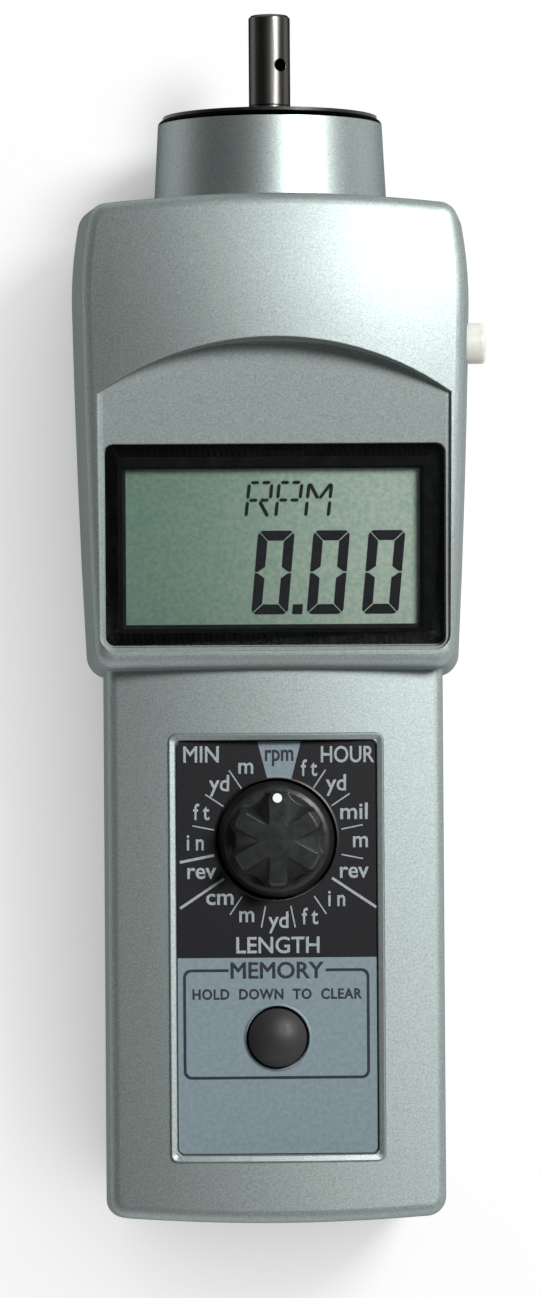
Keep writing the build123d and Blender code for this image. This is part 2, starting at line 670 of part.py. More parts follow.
rear_shell -= block(-BAY_HALF_WIDTH, BAY_HALF_WIDTH, -HANDLE_LENGTH - 1, BAY_TOP, -1, COVER_SPACE)
tongue_reach = BAY_HALF_WIDTH + COVER_TONGUE
rear_shell -= block(
    -tongue_reach,
    tongue_reach,
    -HANDLE_LENGTH - 1,
    BAY_TOP,
    TONGUE_LOW - COVER_CLEARANCE,
    TONGUE_HIGH + COVER_CLEARANCE,
)
for x, y in case_screw_places:
    rear_shell -= rod(CASE_SCREW_HEAD_RADIUS + HOLE_CLEARANCE, -1, CASE_SCREW_SEAT, x, y)
    rear_shell -= rod(CASE_SCREW_RADIUS + HOLE_CLEARANCE, 0, PARTING_HEIGHT + 1, x, y)
for side in (-1, 1):
    x = side * CELL_X
    half = TAB_WIDTH / 2 + HOLE_CLEARANCE
    y0 = BAY_TOP - CONTACT_THICKNESS - HOLE_CLEARANCE
    rear_shell -= block(x - half, x + half, y0, BAY_TOP, BAY_CEILING - 1, bay_roof_top + 1)
rear_shell -= nose_cuts
save("rear_shell", rear_shell)


# Battery cover, slid in from the handle's end on two tongues
cover_half = BAY_HALF_WIDTH - COVER_CLEARANCE
cover_top = BAY_TOP - COVER_CLEARANCE
cover_plate = block(-cover_half, cover_half, -HANDLE_LENGTH - 1, cover_top, 0, COVER_THICKNESS) & handle_back
tongue_half = cover_half + COVER_TONGUE
tongues = block(-tongue_half, tongue_half, -HANDLE_LENGTH - 1, cover_top, TONGUE_LOW, TONGUE_HIGH)
battery_cover = cover_plate + (tongues & handle_back)
for step in range(COVER_GROOVES):
    y = COVER_GROOVE_Y - COVER_GROOVE_PITCH * step
    groove = Rot(0, 90, 0) * Cylinder(COVER_GROOVE_RADIUS, COVER_GROOVE_LENGTH)
    battery_cover -= Pos(0, y, -COVER_GROOVE_SINK) * groove
save("battery_cover", battery_cover)

# Two round cells, laid head to tail
CELL_HEIGHT = COVER_SPACE + HOLE_CLEARANCE + CELL_RADIUS
cell_front = CELL_BOTTOM + CELL_NUB_LENGTH + CELL_LENGTH


def cell(x, rear, front, nub_front):
    can = bar(CELL_RADIUS, rear, front, x, CELL_HEIGHT)
    can = fillet(can.edges(), CELL_EDGE)
    if nub_front:
        return can + bar(CELL_NUB_RADIUS, front - 0.1, front + CELL_NUB_LENGTH, x, CELL_HEIGHT)
    return can + bar(CELL_NUB_RADIUS, rear - CELL_NUB_LENGTH, rear + 0.1, x, CELL_HEIGHT)


save("cell_left", cell(-CELL_X, CELL_BOTTOM, CELL_BOTTOM + CELL_LENGTH, True))
save("cell_right", cell(CELL_X, CELL_BOTTOM + CELL_NUB_LENGTH, cell_front, False))


def leaf(x, plate_y, crest_y, width):
    """A bent contact leaf between its plate and the end of a cell."""
    t = CONTACT_THICKNESS
    way = 1 if crest_y > plate_y else -1
    low = CELL_HEIGHT - LEAF_BELOW
    high = CELL_HEIGHT + LEAF_ABOVE
    tip = plate_y + way * LEAF_LIFT
    inside = crest_y - way * t
    points = [
        (plate_y, low),
        (crest_y, CELL_HEIGHT - LEAF_CREST),
        (crest_y, CELL_HEIGHT + LEAF_CREST),
        (tip, high),
        (tip - way * t, high),
        (inside, CELL_HEIGHT + LEAF_CREST - t / 2),
        (inside, CELL_HEIGHT - LEAF_CREST + t / 2),
        (plate_y, low + 2 * t),
    ]
    profile = Plane.YZ * make_face(Polyline(*points, close=True))
    return Pos(x - width / 2, 0, 0) * extrude(profile, width)


link_face = inner_end + CONTACT_THICKNESS
plate_low = CELL_HEIGHT - PLATE_HALF_HEIGHT
plate_high = CELL_HEIGHT + PLATE_HALF_HEIGHT
link_half = CELL_X + PLATE_HALF_WIDTH
battery_link = block(-link_half, link_half, inner_end, link_face, plate_low, plate_high)
for side in (-1, 1):
    battery_link += leaf(side * CELL_X, link_face, CELL_BOTTOM, CONTACT_WIDTH)
save("battery_link", battery_link)

terminal_face = BAY_TOP - CONTACT_THICKNESS
terminals = []
for side in (-1, 1):
    x = side * CELL_X
    plate = block(x - PLATE_HALF_WIDTH, x + PLATE_HALF_WIDTH, terminal_face, BAY_TOP, plate_low, plate_high)
    half = TAB_WIDTH / 2
    tab = block(x - half, x + half, terminal_face, BAY_TOP, CELL_HEIGHT, MAIN_BOARD_HEIGHT)
    terminals.append(plate + tab + leaf(x, terminal_face, cell_front, CONTACT_WIDTH))
save("battery_terminals", Compound(terminals))

# Main board, its screws and what it carries
main_board = block(
    -MAIN_BOARD_HALF_WIDTH,
    MAIN_BOARD_HALF_WIDTH,
    MAIN_BOARD_BOTTOM,
    MAIN_BOARD_TOP,
    MAIN_BOARD_HEIGHT,
    MAIN_BOARD_FACE,
)
main_board += block(
    -MAIN_BOARD_TONGUE_HALF,
    MAIN_BOARD_TONGUE_HALF,
    MAIN_BOARD_TOP - 1,
    MAIN_BOARD_TONGUE,
    MAIN_BOARD_HEIGHT,
    MAIN_BOARD_FACE,
)
for x, y in main_screw_places:
    main_board -= rod(BOARD_SCREW_RADIUS + HOLE_CLEARANCE, MAIN_BOARD_HEIGHT - 1, MAIN_BOARD_FACE + 1, x, y)
save("main_board", main_board)


def screw(radius, head_radius, seat, length, head_height, x, y, up=True):
    """A pan-head screw seated at a height, its shank up or down from there."""
    way = 1 if up else -1
    shank_end = seat + way * length
    head_end = seat - way * head_height
    recess_end = head_end + way * RECESS_DEPTH
    head = rod(head_radius, min(seat, head_end), max(seat, head_end), x, y)
    head -= rod(head_radius * RECESS_SHARE, min(head_end, recess_end), max(head_end, recess_end), x, y)
    return head + rod(radius, min(seat, shank_end), max(seat, shank_end), x, y)


def board_screw(seat, length, x, y, up=True):
    return screw(BOARD_SCREW_RADIUS, BOARD_SCREW_HEAD, seat, length, BOARD_SCREW_HEAD_HEIGHT, x, y, up)


main_screws = [board_screw(MAIN_BOARD_HEIGHT, BOARD_SCREW_LENGTH, x, y) for x, y in main_screw_places]
save("main_board_screws", Compound(main_screws))



def on_board(x, y, half_width, half_length, height):
    """A block standing on the main board."""
    x0, x1 = x - half_width, x + half_width
    y0, y1 = y - half_length, y + half_length
    return block(x0, x1, y0, y1, MAIN_BOARD_FACE, MAIN_BOARD_FACE + height)


processor_chip = on_board(0, CHIP_Y, CHIP_HALF, CHIP_HALF, CHIP_HEIGHT)
save("processor_chip", chamfer(processor_chip.edges().filter_by(Axis.Z), CHIP_CORNER))
crystal = on_board(CRYSTAL_X, CHIP_Y, CRYSTAL_HALF_WIDTH, CRYSTAL_HALF_LENGTH, CRYSTAL_HEIGHT)
save("crystal", fillet(crystal.edges().filter_by(Axis.Z), CRYSTAL_CORNER))
capacitors = []
capacitor_top = MAIN_BOARD_FACE + CAPACITOR_HEIGHT
for side in (-1, 1):
    y = CHIP_Y + side * CAPACITOR_PITCH / 2
    capacitors.append(rod(CAPACITOR_RADIUS, MAIN_BOARD_FACE, capacitor_top, CAPACITOR_X, y))
save("smoothing_capacitors", Compound(capacitors))

# Display: window, glass, conductive strips, holder and board, all on the tilted face
window = on_face(
    -WINDOW_HALF_WIDTH,
    WINDOW_HALF_WIDTH,
    WINDOW_BOTTOM,
    WINDOW_TOP,
    LEDGE_FACE,
    LEDGE_FACE + WINDOW_THICKNESS,
)
window_edges = window.edges().filter_by(lambda e: abs(e.length - WINDOW_THICKNESS) < 0.01)
save("display_window", fillet(window_edges, WINDOW_CORNER_RADIUS - HOLE_CLEARANCE))
glass_x0 = LCD_LEFT - LCD_BORDER
glass_x1 = LCD_RIGHT + LCD_BORDER
glass_y0 = LCD_BOTTOM - LCD_BORDER
glass_y1 = LCD_TOP + LCD_BORDER
save("lcd_panel", on_face(glass_x0, glass_x1, glass_y0, glass_y1, STRIP_FACE, GLASS_FACE))
holder = on_face(
    glass_x0 - HOLDER_RIM,
    glass_x1 + HOLDER_RIM,
    glass_y0 - HOLDER_RIM,
    glass_y1 + HOLDER_RIM,
    DISPLAY_BOARD_FACE,
    DISPLAY_BACK,
)
holder -= on_face(LCD_LEFT, LCD_RIGHT, LCD_BOTTOM, LCD_TOP, DISPLAY_BOARD_FACE - 1, 1)
holder -= on_face(
    glass_x0 - FIT_GAP,
    glass_x1 + FIT_GAP,
    glass_y0 - FIT_GAP,
    glass_y1 + FIT_GAP,
    DISPLAY_BOARD_FACE - 1,
    GLASS_FACE,
)
save("lcd_holder", holder)
strips = []
strip_x0 = glass_x0 + STRIP_INSET
strip_x1 = glass_x1 - STRIP_INSET
for y0 in (glass_y0 + STRIP_MARGIN, glass_y1 - STRIP_MARGIN - STRIP_WIDTH):
    strips.append(on_face(strip_x0, strip_x1, y0, y0 + STRIP_WIDTH, DISPLAY_BOARD_FACE, STRIP_FACE))
save("conductive_strips", Compound(strips))
display_board = on_face(
    -DISPLAY_BOARD_HALF,
    DISPLAY_BOARD_HALF,
    DISPLAY_BOARD_BOTTOM,
    DISPLAY_BOARD_TOP,
    DISPLAY_BOARD_BACK,
    DISPLAY_BOARD_FACE,
)
display_screws = []
for x, y in display_screw_places:
    display_board -= face_plane * rod(
        BOARD_SCREW_RADIUS + HOLE_CLEARANCE, DISPLAY_BOARD_BACK - 1, DISPLAY_BOARD_FACE + 1, x, y
    )
    display_screws.append(face_plane * board_screw(DISPLAY_BOARD_BACK, BOARD_SCREW_LENGTH, x, y))
save("display_board", display_board)
save("display_board_screws", Compound(display_screws))
below_board = on_face(-PAST_CASE, PAST_CASE, BELOW_LIP, PAST_HEAD, -PAST_CASE, DISPLAY_BOARD_BACK)
header_end = HEADER_Y + HEADER_WIDTH
display_header = block(-HEADER_HALF, HEADER_HALF, HEADER_Y, header_end, MAIN_BOARD_FACE, PAST_FRONT)
save("display_header", display_header & below_board)

# Keypad label in the handle's pocket
keypad_label = extrude(Pos(0, 0, LABEL_FLOOR) * label_outline(LABEL_BEVEL + FIT_GAP), LABEL_THICKNESS)
knob_window = KNOB_RADIUS + KNOB_CLEARANCE + HOLE_CLEARANCE
button_window = MEMORY_RADIUS + BUTTON_CLEARANCE + HOLE_CLEARANCE
keypad_label -= rod(knob_window, LABEL_FLOOR - 1, LABEL_TOP_FACE + 1, 0, KNOB_Y)
keypad_label -= rod(button_window, LABEL_FLOOR - 1, LABEL_TOP_FACE + 1, 0, MEMORY_Y)
save("keypad_label", keypad_label)

# Rotary selector switch, its spindle and the knob
BUSH_TOP = KNOB_BASE - BUSH_GAP
SELECTOR_TOP = BUSH_TOP - SELECTOR_BUSH_HEIGHT
selector_body = on_board(0, KNOB_Y, SELECTOR_HALF, SELECTOR_HALF, SELECTOR_TOP - MAIN_BOARD_FACE)
selector_body = chamfer(selector_body.edges().filter_by(Axis.Z), SELECTOR_CHAMFER)
selector_body += rod(SELECTOR_BUSH_RADIUS, SELECTOR_TOP, BUSH_TOP, 0, KNOB_Y)
SPINDLE_LOW = MAIN_BOARD_FACE + SPINDLE_FLOOR
rotor_top = SPINDLE_LOW + ROTOR_HEIGHT
selector_body -= rod(SPINDLE_RADIUS + FIT_GAP, SPINDLE_LOW - FIT_GAP, BUSH_TOP + 1, 0, KNOB_Y)
selector_body -= rod(ROTOR_RADIUS + ROTOR_GAP, SPINDLE_LOW - ROTOR_GAP, rotor_top + ROTOR_GAP, 0, KNOB_Y)
save("selector_switch", selector_body)
SPINDLE_TOP = KNOB_BASE + KNOB_HEIGHT - SPINDLE_TOP_DROP
flat_side = KNOB_Y + SPINDLE_FLAT
flat_cut = block(-KNOB_RADIUS, KNOB_RADIUS, flat_side, KNOB_Y + KNOB_RADIUS, BUSH_TOP + 0.5, SPINDLE_TOP + 1)
spindle = rod(SPINDLE_RADIUS, SPINDLE_LOW, SPINDLE_TOP, 0, KNOB_Y) - flat_cut
spindle += rod(ROTOR_RADIUS, SPINDLE_LOW, rotor_top, 0, KNOB_Y)
save("selector_spindle", spindle)

skirt_top = KNOB_BASE + KNOB_SKIRT_HEIGHT
knob_top = KNOB_BASE + KNOB_HEIGHT
flute_top = knob_top + KNOB_DOME
knob_profile = [
    (0, KNOB_BASE),
    (KNOB_RADIUS, KNOB_BASE),
    (KNOB_RADIUS, KNOB_BASE + KNOB_RIM),
    (KNOB_SKIRT_TOP_RADIUS, skirt_top),
    (KNOB_GRIP_RADIUS, skirt_top + KNOB_STEP),
    (KNOB_TOP_RADIUS, knob_top - KNOB_EDGE),
    (KNOB_TOP_RADIUS - KNOB_EDGE, knob_top),
    (0, flute_top),
]
knob = lathe(knob_profile, 0, KNOB_Y)
flute_end = FLUTE_LENGTH * tan(radians(FLUTE_HALF_ANGLE))
flute = Cone(0.01, flute_end, FLUTE_LENGTH, align=(Align.CENTER, Align.CENTER, Align.MIN))
above_skirt = rod(2 * KNOB_RADIUS, skirt_top + KNOB_STEP, flute_top + FLUTE_LENGTH, 0, KNOB_Y)
for step in range(KNOB_RIDGES):
    turn = 360 / KNOB_RIDGES * (step + 0.5)
    start = Pos(0, KNOB_Y, flute_top) * Rot(0, 0, turn) * Pos(0, KNOB_HUB_RADIUS, 0)
    knob -= (start * Rot(-90 - FLUTE_SLOPE, 0, 0) * flute) & above_skirt
knob_floor = skirt_top - KNOB_WALL
hollow = rod(KNOB_GRIP_RADIUS - KNOB_WALL, KNOB_BASE - 1, knob_floor, 0, KNOB_Y)
knob -= hollow - rod(KNOB_BOSS_RADIUS, KNOB_BASE - 2, knob_floor + 1, 0, KNOB_Y)
knob -= rod(KNOB_BOSS_RADIUS + 1, KNOB_BASE - 1, KNOB_BASE + BUSH_GAP, 0, KNOB_Y)
socket = rod(SPINDLE_RADIUS + SEAT_GAP, KNOB_BASE - 1, SPINDLE_TOP + BUSH_GAP, 0, KNOB_Y)
knob -= socket - Pos(0, SEAT_GAP, 0) * flat_cut
save("selector_knob", knob)


def cap_height(radius, edge, top, at):
    """Height of a shallow dome at a distance from its axis."""
    rise = top - edge
    ball = (radius**2 + rise**2) / (2 * rise)
    return top - ball + sqrt(ball**2 - at**2)


# Memory button over its push switch
memory_flange_top = HANDLE_CEILING - FLANGE_GAP
memory_flange_low = memory_flange_top - BUTTON_FLANGE
memory_rest = MAIN_BOARD_FACE + SWITCH_HEIGHT + SWITCH_PLUNGER
memory_top = LABEL_TOP_FACE + MEMORY_RISE
memory_edge = LABEL_TOP_FACE + MEMORY_EDGE_RISE
memory_flange = MEMORY_RADIUS + MEMORY_FLANGE_REACH
dome_half = MEMORY_RADIUS / 2
dome = ThreePointArc(
    (MEMORY_RADIUS, memory_edge),
    (dome_half, cap_height(MEMORY_RADIUS, memory_edge, memory_top, dome_half)),
    (0, memory_top),
)
outline = Polyline(
    (0, memory_top),
    (0, memory_rest),
    (MEMORY_STEM_RADIUS, memory_rest),
    (MEMORY_STEM_RADIUS, memory_flange_low),
    (memory_flange, memory_flange_low),
    (memory_flange, memory_flange_top),
    (MEMORY_RADIUS, memory_flange_top),
    (MEMORY_RADIUS, memory_edge),
)
memory_profile = Plane.XZ * make_face([dome] + outline.edges())
memory_button = Pos(0, MEMORY_Y, 0) * revolve(memory_profile, Axis.Z, 360)
save("memory_button", memory_button)


def push_switch(travel):
    """A square push switch on its board at z = 0, and its plunger."""
    half = SWITCH_SIZE / 2
    well = SWITCH_HEIGHT - WELL_DEPTH - travel
    case = block(-half, half, -half, half, 0, SWITCH_HEIGHT)
    case = chamfer(case.edges().filter_by(Axis.Z), SWITCH_CORNER)
    case -= rod(SWITCH_PLUNGER_RADIUS + FIT_GAP, well - 0.3, SWITCH_HEIGHT + 1)
    plunger = rod(SWITCH_PLUNGER_RADIUS, well + travel, SWITCH_HEIGHT + SWITCH_PLUNGER)
    return case, plunger


memory_case, memory_plunger = push_switch(MEMORY_TRAVEL)
memory_place = Pos(0, MEMORY_Y, MAIN_BOARD_FACE)
save("memory_switch", memory_place * memory_case)
save("memory_plunger", memory_place * memory_plunger)

# Side button, its push switch and its small upright board
measure_case, measure_plunger = push_switch(MEASURE_TRAVEL)
measure_place = Pos(MEASURE_BOARD_X + BOARD_THICKNESS, MEASURE_Y, MEASURE_HEIGHT) * Rot(0, 90, 0)
save("measure_switch", measure_place * measure_case)
save("measure_plunger", measure_place * measure_plunger)
measure_board = block(
    MEASURE_BOARD_X,
    MEASURE_BOARD_X + BOARD_THICKNESS,
    measure_board_low,
    measure_board_high,
    PARTING_HEIGHT + 0.4,
    MEASURE_BOARD_TOP,
)
save("measure_board", measure_board)
measure_stem = side_rod(MEASURE_RADIUS, MEASURE_FLANGE_X, MEASURE_TIP_X)
measure_stem = fillet(measure_stem.edges().sort_by(Axis.X)[-1], MEASURE_TIP_EDGE)
flange_end = MEASURE_FLANGE_X + MEASURE_FLANGE
measure_flange = side_rod(MEASURE_RADIUS + MEASURE_FLANGE_REACH, MEASURE_FLANGE_X, flange_end)
save("measure_button", measure_stem + measure_flange)

# Drive shaft
groove_rear = REAR_BEARING_Y - CIRCLIP_THICKNESS
relief_rear = SHAFT_SHOULDER + SHOULDER_WIDTH
shaft_profile = [
    (0, SHAFT_TAIL),
    (SEAT_RADIUS - SHAFT_CHAMFER, SHAFT_TAIL),
    (SEAT_RADIUS, SHAFT_TAIL + SHAFT_CHAMFER),
    (SEAT_RADIUS, groove_rear),
    (SEAT_RADIUS - GROOVE_DEPTH, groove_rear),
    (SEAT_RADIUS - GROOVE_DEPTH, REAR_BEARING_Y),
    (SEAT_RADIUS, REAR_BEARING_Y),
    (SEAT_RADIUS, SHAFT_SHOULDER),
    (SHOULDER_RADIUS, SHAFT_SHOULDER),
    (SHOULDER_RADIUS, relief_rear),
    (RELIEF_RADIUS, relief_rear),
    (RELIEF_RADIUS, RELIEF_FRONT),
    (SHAFT_RADIUS, RELIEF_FRONT),
    (SHAFT_RADIUS, SHAFT_TIP - SHAFT_CHAMFER),
    (SHAFT_RADIUS - SHAFT_CHAMFER, SHAFT_TIP),
    (SOCKET_RADIUS, SHAFT_TIP),
    (SOCKET_RADIUS, SHAFT_TIP - SOCKET_DEPTH),
    (0, SHAFT_TIP - SOCKET_DEPTH - SOCKET_RADIUS / 2),
]
drive_shaft = turned(shaft_profile)
cross_hole = rod(CROSS_HOLE_RADIUS, SHAFT_RADIUS / 2, SHAFT_RADIUS * 2)
drive_shaft -= Pos(0, CROSS_HOLE_Y, SHAFT_HEIGHT) * Rot(0, CROSS_HOLE_ANGLE, 0) * cross_hole
save("drive_shaft", drive_shaft)


def ring(inner, outer, rear, front):
    return turned([(inner, rear), (outer, rear), (outer, front), (inner, front)])


# Two ball bearings, each with two grooved rings, a cage and its balls
PITCH_RADIUS = (BEARING_RACE_INNER + BEARING_RACE_OUTER) / 2
for name, rear in (("rear", REAR_BEARING_Y), ("front", FRONT_BEARING_Y)):
    middle = rear + BEARING_WIDTH / 2
    place = Pos(0, middle, SHAFT_HEIGHT) * Rot(90, 0, 0)
    race = place * Torus(PITCH_RADIUS, BEARING_BALL_RADIUS + FIT_GAP)
    inner = ring(SEAT_RADIUS + SEAT_GAP, BEARING_RACE_INNER, rear, rear + BEARING_WIDTH) - race
    outer = ring(BEARING_RACE_OUTER, BEARING_RADIUS - SEAT_GAP, rear, rear + BEARING_WIDTH) - race
    cage_half = BEARING_BALL_RADIUS + CAGE_OVERLAP
    cage_inner = BEARING_RACE_INNER + RACE_GAP
    cage = ring(cage_inner, BEARING_RACE_OUTER - RACE_GAP, middle - cage_half, middle + cage_half)
    balls = []
    for step in range(BEARING_BALLS):
        spot = place * Rot(0, 0, step * 360 / BEARING_BALLS) * Pos(PITCH_RADIUS, 0, 0)
        cage -= spot * Rot(0, 90, 0) * Cylinder(BEARING_BALL_RADIUS + FIT_GAP, BEARING_RACE_OUTER)
        balls.append(spot * Sphere(BEARING_BALL_RADIUS))
    save(f"{name}_bearing_inner", inner)
    save(f"{name}_bearing_outer", outer)
    save(f"{name}_bearing_cage", cage)
    save(f"{name}_bearing_balls", Compound(balls))

# Bearing sleeve with its clamping flange, circlips and spacer
rear_bearing_front = REAR_BEARING_Y + BEARING_WIDTH
sleeve_profile = [
    (BEARING_RADIUS, SLEEVE_REAR),
    (SLEEVE_RADIUS, SLEEVE_REAR),
    (SLEEVE_RADIUS, FLANGE_REAR),
    (FLANGE_RADIUS, FLANGE_REAR),
    (FLANGE_RADIUS, FLANGE_FRONT),
    (SLEEVE_RADIUS, FLANGE_FRONT),
    (SLEEVE_RADIUS, SLEEVE_FRONT),
    (BEARING_RADIUS, SLEEVE_FRONT),
    (BEARING_RADIUS, FRONT_BEARING_Y),
    (BEARING_RACE_OUTER, FRONT_BEARING_Y),
    (BEARING_RACE_OUTER, rear_bearing_front),
    (BEARING_RADIUS, rear_bearing_front),
    (BEARING_RADIUS, REAR_BEARING_Y),
    (BEARING_RADIUS + GROOVE_DEPTH, REAR_BEARING_Y),
    (BEARING_RADIUS + GROOVE_DEPTH, groove_rear),
    (BEARING_RADIUS, groove_rear),
]
bearing_sleeve = turned(sleeve_profile)
for x, z in nose_screw_places:
    bearing_sleeve -= bar(NOSE_SCREW_RADIUS + HOLE_CLEARANCE, FLANGE_REAR - 1, FLANGE_FRONT + 1, x, z)
save("bearing_sleeve", bearing_sleeve)


def circlip(inner, outer, rear, gap_angle):
    """A spring ring with a gap and no ears."""
    whole = ring(inner, outer, rear, rear + CIRCLIP_THICKNESS)
    notch = Pos(0, rear + CIRCLIP_THICKNESS / 2, SHAFT_HEIGHT) * Rot(0, gap_angle, 0) * Pos(0, 0, outer / 2)
    return whole - notch * Box(CLIP_NOTCH, 2 * CIRCLIP_THICKNESS, outer + 1)


clip_depth = GROOVE_DEPTH - SEAT_GAP
save("sleeve_circlip", circlip(BEARING_RADIUS - 1.1, BEARING_RADIUS + clip_depth, groove_rear, 180))
save("shaft_circlip", circlip(SEAT_RADIUS - clip_depth, SEAT_RADIUS + 1.2, groove_rear, 0))
save("bearing_spacer", ring(SEAT_RADIUS + SEAT_GAP, SEAT_RADIUS + 1.3, rear_bearing_front, FRONT_BEARING_Y))

# Collar and nose cap
collar_inner = COLLAR_TOP - COLLAR_END_WALL
collar_profile = [
    (COLLAR_BASE_RADIUS - WALL, COLLAR_BASE),
    (COLLAR_BASE_RADIUS, COLLAR_BASE),
    (COLLAR_TOP_RADIUS, COLLAR_TOP),
    (SLEEVE_RADIUS + FIT_GAP, COLLAR_TOP),
    (SLEEVE_RADIUS + FIT_GAP, collar_inner),
    (COLLAR_TOP_RADIUS - WALL, collar_inner),
]
nose_collar = turned(collar_profile)
circles = nose_collar.edges().filter_by(GeomType.CIRCLE)
rim = circles.filter_by(lambda e: abs(e.radius - COLLAR_TOP_RADIUS) < 0.01)
nose_collar = fillet(rim, COLLAR_EDGE_RADIUS)
base_reach = COLLAR_BASE_RADIUS - 0.5
top_reach = COLLAR_TOP_RADIUS - 0.5
collar_space = turned([(0, COLLAR_BASE), (base_reach, COLLAR_BASE), (top_reach, COLLAR_TOP), (0, COLLAR_TOP)])
for x, z in nose_screw_places:
    nose_collar += bar(NOSE_BOSS_RADIUS, COLLAR_BASE, collar_inner + 0.5, x, z) & collar_space
    nose_collar -= bar(NOSE_SCREW_RADIUS, COLLAR_BASE - 1, NOSE_SCREW_END + 0.5, x, z)
save("nose_collar", nose_collar)
cap_hole = SHAFT_RADIUS + CAP_HOLE_GAP
cap_edge_y = COLLAR_TOP + CAP_EDGE
cap_top_y = COLLAR_TOP + CAP_RISE
cap_mid = CAP_RADIUS * 0.6
cap_hole_y = cap_height(CAP_RADIUS, cap_edge_y, cap_top_y, cap_hole)
cap_dome = ThreePointArc(
    (CAP_RADIUS, cap_edge_y),
    (cap_mid, cap_height(CAP_RADIUS, cap_edge_y, cap_top_y, cap_mid)),
    (cap_hole, cap_hole_y),
)
cap_outline = Polyline(
    (cap_hole, cap_hole_y),
    (cap_hole, COLLAR_TOP),
    (BEARING_RADIUS, COLLAR_TOP),
    (BEARING_RADIUS, SLEEVE_FRONT + FIT_GAP),
    (SLEEVE_RADIUS, SLEEVE_FRONT + FIT_GAP),
    (SLEEVE_RADIUS, COLLAR_TOP),
    (CAP_RADIUS, COLLAR_TOP),
    (CAP_RADIUS, cap_edge_y),
)
cap_face = make_face([cap_dome] + cap_outline.edges())
save("nose_cap", spun(cap_face))
nose_screws = []
for x, z in nose_screw_places:
    head_rear_y = FLANGE_REAR - NOSE_SCREW_HEAD_HEIGHT
    head = bar(NOSE_SCREW_HEAD, head_rear_y, FLANGE_REAR, x, z)
    head -= bar(NOSE_SCREW_HEAD * RECESS_SHARE, head_rear_y - 1, head_rear_y + RECESS_DEPTH, x, z)
    nose_screws.append(head + bar(NOSE_SCREW_RADIUS, FLANGE_REAR, NOSE_SCREW_END, x, z))
save("nose_screws", Compound(nose_screws))

# Encoder: hub, slotted disc, clamp ring and set screw
disc_front = DISC_Y + DISC_THICKNESS
flange_rear = DISC_Y - HUB_FLANGE_THICKNESS
hub_profile = [
    (SEAT_RADIUS + SEAT_GAP, HUB_REAR),
    (HUB_RADIUS, HUB_REAR),
    (HUB_RADIUS, flange_rear),
    (HUB_FLANGE, flange_rear),
    (HUB_FLANGE, DISC_Y),
    (HUB_SPIGOT, DISC_Y),
    (HUB_SPIGOT, HUB_FRONT),
    (SEAT_RADIUS + SEAT_GAP, HUB_FRONT),
]
set_screw_y = (HUB_REAR + flange_rear) / 2
set_screw_place = Pos(0, set_screw_y, SHAFT_HEIGHT)
set_screw_top = HUB_RADIUS - SET_SCREW_SINK
set_screw = rod(SET_SCREW_RADIUS, SEAT_RADIUS, set_screw_top)
set_screw -= rod(SET_SCREW_SOCKET, set_screw_top - SET_SCREW_SOCKET_DEPTH, set_screw_top + 1)
encoder_hub = turned(hub_profile) - set_screw_place * rod(SET_SCREW_RADIUS + SEAT_GAP, 1, HUB_RADIUS + 1)
save("encoder_hub", encoder_hub)
save("hub_set_screw", set_screw_place * set_screw)
encoder_disc = ring(HUB_SPIGOT + SEAT_GAP, DISC_RADIUS, DISC_Y, disc_front)
slot_radius = (DISC_SLOT_INNER + DISC_SLOT_OUTER) / 2
slot = Box(DISC_SLOT_WIDTH, 2, DISC_SLOT_OUTER - DISC_SLOT_INNER)
for step in range(DISC_SLOTS):
    place = Pos(0, DISC_Y, SHAFT_HEIGHT) * Rot(0, step * 360 / DISC_SLOTS, 0) * Pos(0, 0, slot_radius)
    encoder_disc -= place * slot
save("encoder_disc", encoder_disc)
save("disc_clamp", ring(HUB_SPIGOT + SEAT_GAP, HUB_FLANGE, disc_front, HUB_FRONT - 0.2))

# Sensor board with its slotted light barrier, screws and ribbon to the main board
SENSOR_FACE = SENSOR_BOARD_HEIGHT + BOARD_THICKNESS
sensor_board = block(
    -SENSOR_BOARD_HALF,
    SENSOR_BOARD_HALF,
    SENSOR_BOARD_REAR,
    SENSOR_BOARD_FRONT,
    SENSOR_BOARD_HEIGHT,
    SENSOR_FACE,
)
sensor_screws = []
for x, y in sensor_screw_places:
    sensor_board -= rod(BOARD_SCREW_RADIUS + HOLE_CLEARANCE, SENSOR_BOARD_HEIGHT - 1, SENSOR_FACE + 1, x, y)
    sensor_screws.append(board_screw(SENSOR_FACE, SENSOR_SCREW_LENGTH, x, y, up=False))
save("sensor_board", sensor_board)
save("sensor_board_screws", Compound(sensor_screws))
disc_low = SHAFT_HEIGHT - DISC_RADIUS
gap_rear = DISC_Y - BARRIER_GAP
gap_front = disc_front + BARRIER_GAP
barrier_top = disc_low + BARRIER_OVERLAP
arm_rear = gap_rear - BARRIER_ARM
arm_front = gap_front + BARRIER_ARM
light_barrier = block(-BARRIER_HALF, BARRIER_HALF, arm_rear, arm_front, SENSOR_FACE, barrier_top)
past_arm = BARRIER_HALF + 1
light_barrier -= block(-past_arm, past_arm, gap_rear, gap_front, disc_low - BARRIER_GAP, barrier_top + 1)
save("light_barrier", light_barrier)
ribbon_y = SENSOR_BOARD_REAR + RIBBON_SET_IN
bend = RIBBON_BEND
t = RIBBON_THICKNESS
